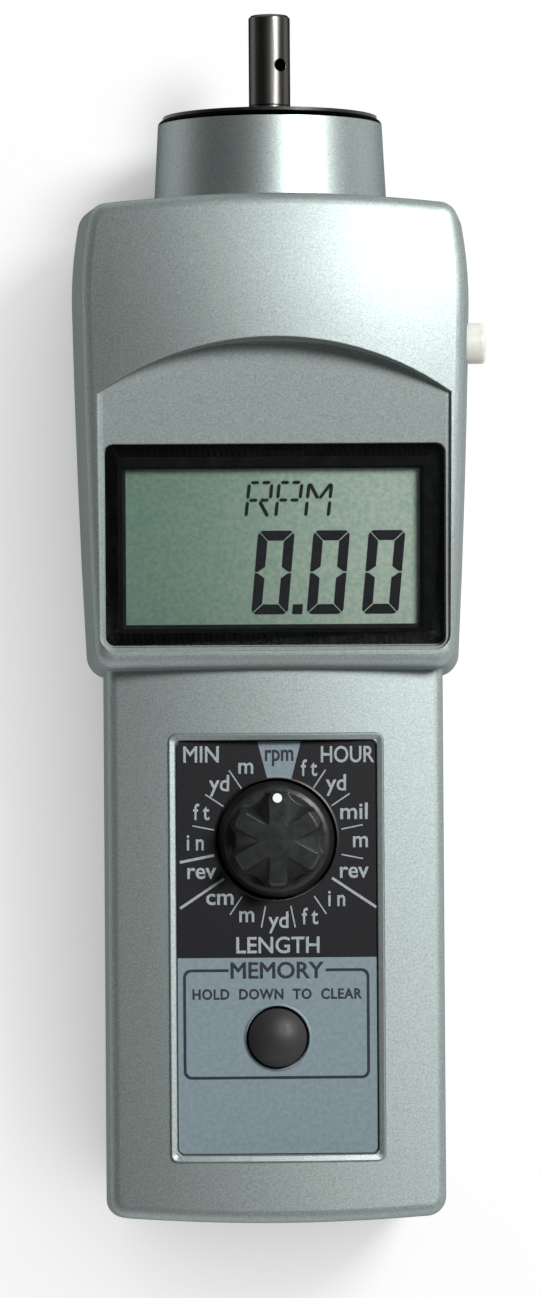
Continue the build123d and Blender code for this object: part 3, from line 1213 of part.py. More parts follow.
ribbon_lines = [
    Line((ribbon_y, SENSOR_FACE), (ribbon_y, MAIN_BOARD_HEIGHT - bend)),
    RadiusArc((ribbon_y, MAIN_BOARD_HEIGHT - bend), (ribbon_y - bend, MAIN_BOARD_HEIGHT), -bend),
    Line((ribbon_y - bend, MAIN_BOARD_HEIGHT), (RIBBON_END, MAIN_BOARD_HEIGHT)),
    Line((RIBBON_END, MAIN_BOARD_HEIGHT), (RIBBON_END, MAIN_BOARD_HEIGHT - t)),
    Line((RIBBON_END, MAIN_BOARD_HEIGHT - t), (ribbon_y - bend, MAIN_BOARD_HEIGHT - t)),
    RadiusArc((ribbon_y - bend, MAIN_BOARD_HEIGHT - t), (ribbon_y - t, MAIN_BOARD_HEIGHT - bend), bend - t),
    Line((ribbon_y - t, MAIN_BOARD_HEIGHT - bend), (ribbon_y - t, SENSOR_FACE)),
    Line((ribbon_y - t, SENSOR_FACE), (ribbon_y, SENSOR_FACE)),
]
ribbon_face = Plane.YZ * make_face(ribbon_lines)
save("sensor_ribbon", Pos(-RIBBON_HALF, 0, 0) * extrude(ribbon_face, 2 * RIBBON_HALF))

# Case screws, driven from the rear
case_screws = []
for x, y in case_screw_places:
    case_screw = screw(
        CASE_SCREW_RADIUS,
        CASE_SCREW_HEAD_RADIUS,
        CASE_SCREW_SEAT,
        CASE_SCREW_LENGTH,
        CASE_SCREW_HEAD_HEIGHT,
        x,
        y,
    )
    case_screws.append(case_screw)
save("case_screws", Compound(case_screws))
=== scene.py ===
from math import cos, pi, radians, sin

import bmesh
import bpy
from mathutils import Matrix, Vector


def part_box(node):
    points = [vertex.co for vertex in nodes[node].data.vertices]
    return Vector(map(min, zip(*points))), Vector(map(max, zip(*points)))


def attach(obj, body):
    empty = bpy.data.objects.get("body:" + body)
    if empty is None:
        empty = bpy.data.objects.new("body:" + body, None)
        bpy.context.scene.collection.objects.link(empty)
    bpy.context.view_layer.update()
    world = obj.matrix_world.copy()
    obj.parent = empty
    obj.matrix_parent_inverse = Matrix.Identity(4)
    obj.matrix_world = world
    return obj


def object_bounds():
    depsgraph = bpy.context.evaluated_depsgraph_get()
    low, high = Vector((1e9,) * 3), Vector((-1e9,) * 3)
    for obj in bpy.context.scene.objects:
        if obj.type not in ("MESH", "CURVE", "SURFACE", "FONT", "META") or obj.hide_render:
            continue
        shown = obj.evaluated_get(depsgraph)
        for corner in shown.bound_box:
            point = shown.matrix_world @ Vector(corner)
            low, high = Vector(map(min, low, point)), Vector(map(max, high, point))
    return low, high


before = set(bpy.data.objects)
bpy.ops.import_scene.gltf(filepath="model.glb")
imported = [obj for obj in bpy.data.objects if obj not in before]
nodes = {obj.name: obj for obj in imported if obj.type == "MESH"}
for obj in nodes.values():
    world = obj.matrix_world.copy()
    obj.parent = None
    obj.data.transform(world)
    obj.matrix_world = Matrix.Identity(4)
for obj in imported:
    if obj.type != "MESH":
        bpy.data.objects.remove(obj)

cad_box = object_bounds()

# Camera.
# It looks down on the tachometer, a degree or so off square, from about 0.8 m away.
# The picture has 1298 rows, at 6534 rows to the metre in the plane of the shaft.
CAMERA_DISTANCE = 0.8
CAMERA_TARGET = Vector((-0.00034, 0.00439, 0.023))
CAMERA_YAW = radians(-1.42)
CAMERA_PITCH = radians(0.33)
CAMERA_ROLL = radians(-0.38)
PICTURE_HEIGHT = 1298
ROWS_PER_METRE = 6534
SENSOR_HEIGHT = 36.0
NEAREST_SEEN = 0.01

aim = Matrix.Rotation(CAMERA_YAW, 3, "Y") @ Matrix.Rotation(CAMERA_PITCH, 3, "X")
aim = aim @ Matrix.Rotation(CAMERA_ROLL, 3, "Z")
lens = bpy.data.cameras.new("camera")
lens.sensor_fit = "VERTICAL"
lens.sensor_height = SENSOR_HEIGHT
lens.lens = SENSOR_HEIGHT * ROWS_PER_METRE * CAMERA_DISTANCE / PICTURE_HEIGHT
lens.clip_start = NEAREST_SEEN
camera = bpy.data.objects.new("camera", lens)
bpy.context.scene.collection.objects.link(camera)
place = CAMERA_TARGET + aim @ Vector((0, 0, CAMERA_DISTANCE))
camera.matrix_world = Matrix.Translation(place) @ aim.to_4x4()
bpy.context.scene.camera = camera
bpy.context.scene.view_settings.view_transform = "Standard"

# Light.
# One soft box stands to the right of the shaft end, as the shading of the crowns and the bright
# stripe on the collar show. The room is dim overhead and paler low down, at the foot end.
KEY_DIRECTION = Vector((0.66, 0.52, 1.0)).normalized()
KEY_DISTANCE = 0.75
KEY_SIZE = 0.22
KEY_POWER = 7.4
ROOM_DIRECTION = Vector((0.15, -0.85, -0.5)).normalized()
ROOM_DARK = 0.05
ROOM_PALE = 1.25
ROOM_DARK_SIDE = 0.05
ROOM_PALE_SIDE = 0.85
OBJECT_MIDDLE = Vector((0, 0.01, 0.03))

key = bpy.data.lights.new("key_light", "AREA")
key.shape = "SQUARE"
key.size = KEY_SIZE
key.energy = KEY_POWER
key_lamp = bpy.data.objects.new("key_light", key)
bpy.context.scene.collection.objects.link(key_lamp)
key_lamp.location = OBJECT_MIDDLE + KEY_DIRECTION * KEY_DISTANCE
key_lamp.rotation_euler = KEY_DIRECTION.to_track_quat("Z", "Y").to_euler()

MATHS = "ShaderNodeMath"
VECTOR_MATHS = "ShaderNodeVectorMath"


def add_step(tree, kind, operation, *values):
    """A maths node whose inputs are linked to sockets or set to plain values."""
    step = tree.nodes.new(kind)
    step.operation = operation
    for slot, value in zip(step.inputs, values):
        if isinstance(value, bpy.types.NodeSocket):
            tree.links.new(value, slot)
        else:
            slot.default_value = value
    return step


def add_range(tree, value, before, after=(0, 1), smooth=False):
    """Carries a value from one span of numbers to another."""
    change = tree.nodes.new("ShaderNodeMapRange")
    if smooth:
        change.interpolation_type = "SMOOTHSTEP"
    for name, number in zip(("From Min", "From Max", "To Min", "To Max"), (*before, *after)):
        change.inputs[name].default_value = number
    tree.links.new(value, change.inputs["Value"])
    return change.outputs["Result"]


world = bpy.data.worlds.new("room")
world.use_nodes = True
bpy.context.scene.world = world
sky = world.node_tree
towards = sky.nodes.new("ShaderNodeTexCoord").outputs["Generated"]
side = add_step(sky, VECTOR_MATHS, "DOT_PRODUCT", towards, ROOM_DIRECTION).outputs["Value"]
glow = add_range(sky, side, (ROOM_DARK_SIDE, ROOM_PALE_SIDE), (ROOM_DARK, ROOM_PALE))
sky.links.new(glow, sky.nodes["Background"].inputs["Color"])

# Table.
# A wide sheet of matt white card that the tachometer lies on, with its soft shadow. Away from the
# tachometer the card shows as paper white.
FLOOR_RADIUS = 3.0
FLOOR_SIDES = 96
FLOOR_DROP = 0.00005
SHADE_REACH = 0.06
WHITE_SHARE = 0.92
SHADE_FULL = 0.1
SHADE_NONE = 0.9
SHADE_SAMPLES = 8
CARD_COLOUR = (0.88, 0.88, 0.88)


def fresh_material(name, colour, roughness, metallic=0.0):
    """A new material and its shader, with the plain numbers on the shader's own sockets."""
    material = bpy.data.materials.new(name)
    material.use_nodes = True
    shader = material.node_tree.nodes["Principled BSDF"]
    shader.inputs["Base Color"].default_value = (*colour, 1)
    shader.inputs["Roughness"].default_value = roughness
    shader.inputs["Metallic"].default_value = metallic
    return material, shader


def new_piece(name, mesh_maker, material):
    """A new object whose mesh is filled by a function that is given an empty bmesh."""
    mesh = bpy.data.meshes.new(name)
    work = bmesh.new()
    mesh_maker(work)
    bmesh.ops.recalc_face_normals(work, faces=work.faces)
    work.to_mesh(mesh)
    work.free()
    mesh.materials.append(material)
    piece = bpy.data.objects.new(name, mesh)
    bpy.context.scene.collection.objects.link(piece)
    return piece


def floor_disc(work):
    """The card, as a disc that reaches far past the tachometer."""
    bmesh.ops.create_circle(work, cap_ends=True, radius=FLOOR_RADIUS, segments=FLOOR_SIDES)


card, card_shader = fresh_material("white_card", CARD_COLOUR, 0.9)
card_tree = card.node_tree
shade = card_tree.nodes.new("ShaderNodeAmbientOcclusion")
shade.samples = SHADE_SAMPLES
shade.inputs["Distance"].default_value = SHADE_REACH
lift = add_range(card_tree, shade.outputs["AO"], (SHADE_FULL, SHADE_NONE), (0, WHITE_SHARE))
seen = card_tree.nodes.new("ShaderNodeLightPath").outputs
in_sight = seen["Is Camera Ray"]
for also_seen in ("Is Glossy Ray", "Is Transmission Ray"):
    in_sight = add_step(card_tree, MATHS, "MAXIMUM", in_sight, seen[also_seen]).outputs["Value"]
share = add_step(card_tree, MATHS, "MULTIPLY", in_sight, lift).outputs["Value"]
paper_white = card_tree.nodes.new("ShaderNodeEmission")
both = card_tree.nodes.new("ShaderNodeMixShader")
card_tree.links.new(share, both.inputs["Fac"])
card_tree.links.new(card_shader.outputs["BSDF"], both.inputs[1])
card_tree.links.new(paper_white.outputs["Emission"], both.inputs[2])
card_tree.links.new(both.outputs["Shader"], card_tree.nodes["Material Output"].inputs["Surface"])
floor = new_piece("floor", floor_disc, card)
floor.location.z = cad_box[0][2] - FLOOR_DROP

# Case paint.
# The two half shells, the nose collar and the battery cover are moulded plastic, sprayed with a
# silver paint whose fine aluminium flakes give a soft metallic sheen with a slight sparkle.
FLAKE_SCALE = 3800
FLAKE_DEPTH = 0.000004
FACE_TILT = radians(4.9)
FACE_HEIGHT = 0.0368
POCKET_MIDDLE = (0.0, 0.0265)
POCKET_HALF = (0.0257, 0.0235)
POCKET_REACH = 0.0001
# Painted shade: how dark the paint on the display pocket's floor is made.
POCKET_SHADE = 0.8
PAINT_COLOUR = (0.40, 0.435, 0.42)
PAINT_METALLIC = 0.92
PAINT_ROUGHNESS = 0.58
EASING_SAMPLES = 4
NOISE_DETAIL = 2.0
SMUDGE_DETAIL = 3.0
SMUDGE_SPAN = (0.3, 0.7)
MOTTLE_SPAN = (0.35, 0.65)
NO_TINT = (0, 0, 0, 1)


def add_noise(material, scale, detail=NOISE_DETAIL, stretch=(1, 1, 1)):
    """A noise texture laid out in the piece's own metres."""
    tree = material.node_tree
    where = tree.nodes.new("ShaderNodeTexCoord")
    stretcher = tree.nodes.new("ShaderNodeMapping")
    stretcher.inputs["Scale"].default_value = stretch
    noise = tree.nodes.new("ShaderNodeTexNoise")
    noise.inputs["Scale"].default_value = scale
    noise.inputs["Detail"].default_value = detail
    tree.links.new(where.outputs["Object"], stretcher.inputs["Vector"])
    tree.links.new(stretcher.outputs["Vector"], noise.inputs["Vector"])
    return noise


def mottle(material, shader, scale, dark, pale, detail=NOISE_DETAIL, stretch=(1, 1, 1)):
    """Colour that wanders between two tones."""
    tree = material.node_tree
    noise = add_noise(material, scale, detail, stretch)
    ramp = tree.nodes.new("ShaderNodeValToRGB")
    for stop, position, tone in zip(ramp.color_ramp.elements, MOTTLE_SPAN, (dark, pale)):
        stop.position = position
        stop.color = (*tone, 1)
    tree.links.new(noise.outputs["Fac"], ramp.inputs["Fac"])
    tree.links.new(ramp.outputs["Color"], shader.inputs["Base Color"])


def smudge(material, shader, scale, low, high, stretch=(1, 1, 1)):
    """Roughness that wanders, as handled surfaces do."""
    tree = material.node_tree
    noise = add_noise(material, scale, SMUDGE_DETAIL, stretch)
    wander = add_range(tree, noise.outputs["Fac"], SMUDGE_SPAN, (low, high))
    tree.links.new(wander, shader.inputs["Roughness"])


def grain(material, shader, scale, depth, stretch=(1, 1, 1), edge=0.0):
    """A fine relief, over edges that are eased by a small radius where one is given."""
    tree = material.node_tree
    noise = add_noise(material, scale, NOISE_DETAIL, stretch)
    bump = tree.nodes.new("ShaderNodeBump")
    bump.inputs["Distance"].default_value = depth
    tree.links.new(noise.outputs["Fac"], bump.inputs["Height"])
    tree.links.new(bump.outputs["Normal"], shader.inputs["Normal"])
    if edge:
        easing = tree.nodes.new("ShaderNodeBevel")
        easing.samples = EASING_SAMPLES
        easing.inputs["Radius"].default_value = edge
        tree.links.new(easing.outputs["Normal"], bump.inputs["Normal"])


def dress(material, *names):
    """Gives CAD nodes a finish."""
    for name in names:
        for slot in nodes[name].material_slots:
            slot.material = material


def multiply_colour(material, shader, factor):
    """Multiplies the shader's colour by a socket, which holds a number or a colour."""
    tree = material.node_tree
    colour = shader.inputs["Base Color"].links[0].from_socket
    product = add_step(tree, VECTOR_MATHS, "MULTIPLY", colour, factor)
    tree.links.new(product.outputs["Vector"], shader.inputs["Base Color"])


def shade_pocket_floor(material, shader):
    """Darkens the paint's colour on the floor of the display pocket, a painted shade for the
    recess under the hood.
    """
    tree = material.node_tree
    where = tree.nodes.new("ShaderNodeTexCoord").outputs["Object"]
    limits = (
        ((1, 0, 0), POCKET_MIDDLE[0], POCKET_HALF[0]),
        ((0, 1, 0), POCKET_MIDDLE[1], POCKET_HALF[1]),
        ((0, -sin(FACE_TILT), cos(FACE_TILT)), FACE_HEIGHT * cos(FACE_TILT), POCKET_REACH),
    )
    inside = 1.0
    for direction, middle, reach in limits:
        along = add_step(tree, VECTOR_MATHS, "DOT_PRODUCT", where, direction).outputs["Value"]
        within = add_step(tree, MATHS, "COMPARE", along, middle, reach).outputs["Value"]
        inside = add_step(tree, MATHS, "MULTIPLY", within, inside).outputs["Value"]
    multiply_colour(material, shader, add_range(tree, inside, (0, 1), (1, POCKET_SHADE)))


paint, paint_shader = fresh_material("silver_paint", PAINT_COLOUR, PAINT_ROUGHNESS, PAINT_METALLIC)
paint_shader.inputs["Specular Tint"].default_value = NO_TINT
mottle(paint, paint_shader, FLAKE_SCALE, (0.335, 0.39, 0.382), (0.448, 0.51, 0.498))
# Painted shade: the paint is darker on the floor of the display pocket.
shade_pocket_floor(paint, paint_shader)
grain(paint, paint_shader, FLAKE_SCALE, FLAKE_DEPTH, edge=0.0002)
dress(paint, "front_shell", "rear_shell", "battery_cover")

# Nose collar.
# The same painted plastic. Its front rim is left bare and black, so the black cap seems to run on
# over the edge.
BARE_RIM = 0.0008
COLLAR_ROUGHNESS = 0.46
collar_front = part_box("nose_collar")[1].y
collar_paint = paint.copy()
collar_paint.name = "collar_paint"
collar_tree = collar_paint.node_tree
collar_shader = collar_tree.nodes["Principled BSDF"]
collar_shader.inputs["Roughness"].default_value = COLLAR_ROUGHNESS
on_collar = collar_tree.nodes.new("ShaderNodeTexCoord").outputs["Object"]
forward = add_step(collar_tree, VECTOR_MATHS, "DOT_PRODUCT", on_collar, (0, 1, 0)).outputs["Value"]
sprayed = add_step(collar_tree, MATHS, "LESS_THAN", forward, collar_front - BARE_RIM)
multiply_colour(collar_paint, collar_shader, sprayed.outputs["Value"])
dress(collar_paint, "nose_collar")

# Battery bay.
# Two penlight cells in printed plastic sleeves lie head to tail in the rear shell. Nickel plated
# spring leaves at both ends of the bay carry their current.
steel_leaf, leaf_shader = fresh_material("plated_leaf", (0.72, 0.70, 0.66), 0.3, 1.0)
smudge(steel_leaf, leaf_shader, 900, 0.22, 0.42)
dress(steel_leaf, "battery_terminals", "battery_link")

cell_wrap, wrap_shader = fresh_material("cell_wrap", (0.05, 0.09, 0.16), 0.35)
smudge(cell_wrap, wrap_shader, 700, 0.28, 0.45)
dress(cell_wrap, "cell_left", "cell_right")

# Boards.
# Green glass laminate under a solder mask, with black moulded components and a crystal in a bright
# can. Small screws hold three of the boards on posts, and the side button's stands between ribs.
laminate, laminate_shader = fresh_material("laminate", (0.02, 0.16, 0.06), 0.35)
mottle(laminate, laminate_shader, 1800, (0.015, 0.13, 0.05), (0.03, 0.2, 0.08))
grain(laminate, laminate_shader, 3000, 0.000008)
dress(laminate, "main_board", "display_board", "sensor_board", "measure_board")

chip_black, chip_shader = fresh_material("component_black", (0.02, 0.02, 0.022), 0.45)
grain(chip_black, chip_shader, 6000, 0.00001)
dress(chip_black, "processor_chip", "display_header", "light_barrier", "selector_switch")
dress(chip_black, "memory_switch", "measure_switch", "smoothing_capacitors")

can_metal, can_shader = fresh_material("crystal_can", (0.75, 0.74, 0.7), 0.28, 1.0)
smudge(can_metal, can_shader, 1200, 0.2, 0.38)
dress(can_metal, "crystal")

screw_steel, screw_shader = fresh_material("screw_steel", (0.55, 0.54, 0.52), 0.34, 1.0)
smudge(screw_steel, screw_shader, 1500, 0.25, 0.45)
grain(screw_steel, screw_shader, 5000, 0.000006, edge=0.0001)
dress(screw_steel, "main_board_screws", "display_board_screws", "sensor_board_screws")
dress(screw_steel, "case_screws", "nose_screws", "hub_set_screw")

ribbon_film, ribbon_shader = fresh_material("ribbon_film", (0.75, 0.73, 0.66), 0.45)
grain(ribbon_film, ribbon_shader, 2500, 0.00001, stretch=(1, 0.02, 1))
dress(ribbon_film, "sensor_ribbon")

# Display.
# A liquid crystal panel in a black holder lies under a clear acrylic window. The window's back is
# printed black round the opening, and the panel shows 0.00 under the letters RPM.
WINDOW_HALF = 0.0255
WINDOW_LOW = 0.0048
WINDOW_HIGH = 0.0351
WINDOW_BACK = -0.00165
OPENING_LEFT = -0.0229
OPENING_RIGHT = 0.0224
OPENING_LOW = 0.0073
OPENING_HIGH = 0.0318
WINDOW_CORNER = 0.0014
OPENING_CORNER = 0.0003
GLASS_FACE = -0.00355
PANEL_HALF = 0.022
PRINT_THICKNESS = 0.00003
CORNER_STEPS = 6

face = Matrix.Translation((0, 0, FACE_HEIGHT)) @ Matrix.Rotation(FACE_TILT, 4, "X")

window_clear, window_shader = fresh_material("clear_acrylic", (0.01, 0.012, 0.01), 0.06)
window_shader.inputs["Alpha"].default_value = 0.12
window_shader.inputs["IOR"].default_value = 1.9
smudge(window_clear, window_shader, 300, 0.04, 0.1)
dress(window_clear, "display_window")

black_plastic, black_shader = fresh_material("black_plastic", (0.005, 0.005, 0.0055), 0.4)
smudge(black_plastic, black_shader, 900, 0.32, 0.5)
grain(black_plastic, black_shader, 4500, 0.00001, edge=0.00015)
dress(black_plastic, "lcd_holder")


def paint_light_across(material, shader, half_width, left_shade, right_light):
    """Paints light across a colour, darker on the left and brighter on the right, as liquid
    crystal looks when it is lit from one side.
    """
    tree = material.node_tree
    where = tree.nodes.new("ShaderNodeTexCoord").outputs["Object"]
    across = add_step(tree, VECTOR_MATHS, "DOT_PRODUCT", where, (1, 0, 0)).outputs["Value"]
    light_ramp = tree.nodes.new("ShaderNodeValToRGB")
    light_ramp.color_ramp.elements[0].color = (*left_shade, 1)
    light_ramp.color_ramp.elements[1].color = (*right_light, 1)
    place = add_range(tree, across, (-half_width, half_width), smooth=True)
    tree.links.new(place, light_ramp.inputs["Fac"])
    multiply_colour(material, shader, light_ramp.outputs["Color"])


panel_glass, panel_shader = fresh_material("panel_glass", (0.33, 0.45, 0.34), 0.5)
mottle(panel_glass, panel_shader, 1400, (0.27, 0.41, 0.31), (0.40, 0.49, 0.37), detail=5.0)
# Painted light: the panel's colour is darker on the left and brighter on the right.
paint_light_across(panel_glass, panel_shader, PANEL_HALF, (0.50, 0.64, 0.64), (1.32, 1.26, 1.36))
dress(panel_glass, "lcd_panel")

strip_rubber, strip_shader = fresh_material("strip_rubber", (0.3, 0.25, 0.27), 0.7)
layered = (1, 0.01, 0.01)
mottle(strip_rubber, strip_shader, 4000, (0.06, 0.06, 0.06), (0.5, 0.35, 0.4), stretch=layered)
dress(strip_rubber, "conductive_strips")


def plate(work, outline, thickness, holes=()):
    """A thin flat plate from an outline and hole outlines, all as lists of (x, y)."""
    rings = []
    for ring in (outline, *holes):
        points = [work.verts.new((x, y, 0)) for x, y in ring]
        rings.append([work.edges.new((points[i - 1], points[i])) for i in range(len(points))])
    edges = [edge for ring in rings for edge in ring]
    filled = bmesh.ops.triangle_fill(work, use_beauty=True, use_dissolve=False, edges=edges)
    faces = [part for part in filled["geom"] if isinstance(part, bmesh.types.BMFace)]
    raised = bmesh.ops.extrude_face_region(work, geom=faces)
    tops = [part for part in raised["geom"] if isinstance(part, bmesh.types.BMVert)]
    bmesh.ops.translate(work, verts=tops, vec=(0, 0, thickness))


def rounded_box(left, right, low, high, radius):
    """The outline of a rectangle with round corners."""
    corners = [(right, high, 0), (left, high, 1), (left, low, 2), (right, low, 3)]
    points = []
    for x, y, quarter in corners:
        centre_x = x - radius if x == right else x + radius
        centre_y = y - radius if y == high else y + radius
        for step in range(CORNER_STEPS + 1):
            angle = (quarter + step / CORNER_STEPS) * pi / 2
            points.append((centre_x + radius * cos(angle), centre_y + radius * sin(angle)))
    return points


def window_print(work):
    """The black border, which fills the window outside the opening."""
    outer = rounded_box(-WINDOW_HALF, WINDOW_HALF, WINDOW_LOW, WINDOW_HIGH, WINDOW_CORNER)
    inner = rounded_box(OPENING_LEFT, OPENING_RIGHT, OPENING_LOW, OPENING_HIGH, OPENING_CORNER)
    plate(work, outer, PRINT_THICKNESS, [inner])


gloss_print, gloss_shader = fresh_material("gloss_print", (0.003, 0.003, 0.0035), 0.25)
smudge(gloss_print, gloss_shader, 400, 0.18, 0.3)
frame_print = new_piece("window_print", window_print, gloss_print)
frame_print.matrix_world = face @ Matrix.Translation((0, 0, WINDOW_BACK - PRINT_THICKNESS))
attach(frame_print, "housing")

DIGIT_HEIGHT = 0.01264
DIGIT_WIDTH = 0.0055
DIGIT_PITCH = 0.00835
DIGIT_STROKE = 0.0015
DIGIT_SLANT = 0.089
DIGIT_LEFT = -0.00355
DIGIT_BASE = 0.0093
SEGMENT_GAP = 0.00011
CORNER_START = 0.13
CORNER_END = 0.45
NOTCH = 0.3
DIGITS = 3
LETTER_HEIGHT = 0.0053
LETTER_WIDTH = 0.0034
LETTER_PITCH = 0.0045
LETTER_STROKE = 0.0005
LETTER_SLANT = 0.11
LETTER_LEFT = -0.0043
LETTER_BASE = 0.0239
LETTER_TRIM = 0.35


def digit_segments():
    """The six lit segments of a nought, each an outline inside the box that the digit fills."""
    w, h, s, g = DIGIT_WIDTH, DIGIT_HEIGHT, DIGIT_STROKE, SEGMENT_GAP
    mid = h / 2
    near, far = CORNER_START * s, CORNER_END * s
    top = [(near + g, h - near), (far, h), (w - far, h), (w - near - g, h - near)]
    top += [(w - s - g, h - s), (s + g, h - s)]
    upper_left = [(0, h - far), (near, h - near - g), (s, h - s - g), (s, mid + s / 2 + g)]
    upper_left += [(NOTCH * s, mid + g), (0, mid + g)]
    upper = [top, upper_left, [(w - x, y) for x, y in upper_left]]
    return upper + [[(x, h - y) for x, y in outline] for outline in upper]


def lean(outline, left, base, slant):
    """An outline in its place on the glass, leaning to the right."""
    return [(left + x + slant * y, base + y) for x, y in outline]


def stroke(start, end, width):
    """A slim segment between two points, pointed at its ends."""
    a, b = Vector(start), Vector(end)
    along = (b - a).normalized()
    side = Vector((-along.y, along.x)) * width / 2
    tip = along * width / 2
    a, b = a + along * width * LETTER_TRIM, b - along * width * LETTER_TRIM
    corners = (a, a + tip + side, b - tip + side, b, b - tip - side, a + tip - side)
    return [tuple(corner) for corner in corners]


LETTER_SPOKES = {
    "R": ["bottom_left middle_left", "middle_left top_left", "top_left top_middle",
          "top_middle top_right", "top_right middle_right", "middle_left centre",
          "centre middle_right", "centre bottom_right"],
    "P": ["bottom_left middle_left", "middle_left top_left", "top_left top_middle",
          "top_middle top_right", "top_right middle_right", "middle_left centre",
          "centre middle_right"],
    "M": ["bottom_left middle_left", "middle_left top_left", "top_left centre",
          "centre top_right", "top_right middle_right", "middle_right bottom_right"],
}
ROWS = {"top": 1.0, "middle": 0.5, "bottom": 0.0}
COLUMNS = {"left": 0.0, "middle": 0.5, "right": 1.0}


def spoke_point(name):
    """One of the points that the strokes of a letter run between."""
    if name == "centre":
        return 0.5 * LETTER_WIDTH, 0.5 * LETTER_HEIGHT
    row, column = name.split("_")
    return COLUMNS[column] * LETTER_WIDTH, ROWS[row] * LETTER_HEIGHT


def lit_segments(work):
    """The figures 0.00 and the letters over them."""
    for count in range(DIGITS):
        for outline in digit_segments():
            left = DIGIT_LEFT + count * DIGIT_PITCH
            plate(work, lean(outline, left, DIGIT_BASE, DIGIT_SLANT), PRINT_THICKNESS)
    point = [(0, 0), (DIGIT_STROKE, 0), (DIGIT_STROKE, DIGIT_STROKE), (0, DIGIT_STROKE)]
    point_left = DIGIT_LEFT + (DIGIT_WIDTH + DIGIT_PITCH - DIGIT_STROKE) / 2
    plate(work, lean(point, point_left, DIGIT_BASE, DIGIT_SLANT), PRINT_THICKNESS)
    for count, letter in enumerate("RPM"):
        for spoke in LETTER_SPOKES[letter]:
            start, end = spoke.split()
            outline = stroke(spoke_point(start), spoke_point(end), LETTER_STROKE)
            left = LETTER_LEFT + count * LETTER_PITCH
            plate(work, lean(outline, left, LETTER_BASE, LETTER_SLANT), PRINT_THICKNESS)


crystal_dark, crystal_shader = fresh_material("dark_crystal", (0.007, 0.008, 0.014), 0.4)
mottle(crystal_dark, crystal_shader, 2500, (0.004, 0.005, 0.01), (0.014, 0.015, 0.02))
segments = new_piece("lit_segments", lit_segments, crystal_dark)
segments.matrix_world = face @ Matrix.Translation((0, 0, GLASS_FACE + PRINT_THICKNESS))
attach(segments, "housing")

# Keypad label.
# A polycarbonate film with a satin face, printed grey blue, with a black dial panel, pale marks
# for the sixteen ranges and a frame round the memory button.
LABEL_CORNER = 0.001
KNOB_Y = -0.0244
KNOB_HOLE = 0.0092
MEMORY_HOLE = 0.0045
RIM_WIDTH = 0.0007
RIM_HEIGHT = 0.0004
DIAL_RIM_WIDTH = 0.0003
DIAL_RIM_HEIGHT = 0.0001
PANEL_BOTTOM = -0.0422
POSITIONS = 16
RANGE_STEP = 2 * pi / POSITIONS
RANGE_RADIUS = 0.0121
RANGE_STRETCH = 1.03
DIAL_STEPS = 60
LETTER_WEIGHT = 0.02
LETTER_CURVE_STEPS = 4
MARKS_SHIFT = (0.0002, -0.00042)
WEDGE_SHIFT = 0.0005
WEDGE_HALF_TOP = 0.0033
WIDE_SPACING = 1.5
NOTE_WEIGHT = 0.032
NOTE_HEIGHT = 0.0016
NOTE_Y = -0.0477
NOTE_SPACING = 1.1
LINE_INNER = 0.0098
LINE_OUTER = 0.0131
LINE_WIDTH = 0.0002
GROUP_LINE_WIDTH = 0.0004
CAP_HEIGHT = 0.0025
MEMORY_FRAME = (-0.0142, 0.0139, -0.0605, -0.0439)
FRAME_LINE = 0.00042
FRAME_GAP_HALF = 0.0073
FRAME_CORNER_OUTSIDE = 0.0012
FRAME_CORNER_INSIDE = 0.0009
RANGES = "rpm ft yd mil m rev in ft yd m cm rev in ft yd m".split()
WORD_WIDTHS = {
    "rpm": 0.0043,
    "ft": 0.0025,
    "yd": 0.0031,
    "mil": 0.0042,
    "m": 0.0023,
    "rev": 0.0044,
    "in": 0.0026,
    "cm": 0.0042,
    "MIN": 0.0054,
    "HOUR": 0.0081,
    "LENGTH": 0.0126,
    "MEMORY": 0.0141,
    "HOLD  DOWN  TO  CLEAR": 0.0256,
}
GROUP_BREAKS = (5, 10, 11)
GROUP_NAMES = (("MIN", -0.0115, 0.0133), ("HOUR", 0.0106, 0.0132), ("LENGTH", -0.0001, -0.0155))
FIRST_RANGE_RISE = 0.0123
label_right, label_top, label_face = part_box("keypad_label")[1]

label_film, label_shader = fresh_material("label_film", (0.22, 0.28, 0.31), 0.5)
mottle(label_film, label_shader, 1500, (0.175, 0.235, 0.265), (0.215, 0.275, 0.305), detail=4.0)
grain(label_film, label_shader, 6000, 0.000004)
dress(label_film, "keypad_label")


def raised_rim(material, shader, y, hole, width, height):
    """A fine relief where the film swells a little round a hole on the middle line."""
    tree = material.node_tree
    smooth = shader.inputs["Normal"].links[0].from_socket
    where = tree.nodes.new("ShaderNodeTexCoord").outputs["Object"]
    from_hole = add_step(tree, VECTOR_MATHS, "SUBTRACT", where, (0, y, 0)).outputs["Vector"]
    flat = add_step(tree, VECTOR_MATHS, "MULTIPLY", from_hole, (1, 1, 0)).outputs["Vector"]
    reach = add_step(tree, VECTOR_MATHS, "LENGTH", flat).outputs["Value"]
    relief = tree.nodes.new("ShaderNodeBump")
    relief.inputs["Distance"].default_value = height
    swell = add_range(tree, reach, (hole + width, hole), smooth=True)
    tree.links.new(swell, relief.inputs["Height"])
    tree.links.new(smooth, relief.inputs["Normal"])
    tree.links.new(relief.outputs["Normal"], shader.inputs["Normal"])


memory_low, memory_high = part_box("memory_button")
memory_y = (memory_low.y + memory_high.y) / 2
raised_rim(label_film, label_shader, memory_y, MEMORY_HOLE, RIM_WIDTH, RIM_HEIGHT)


def spoke_at(angle, radius):
    """A point at a clock angle from the knob's centre."""
    return radius * sin(angle), KNOB_Y + radius * cos(angle)


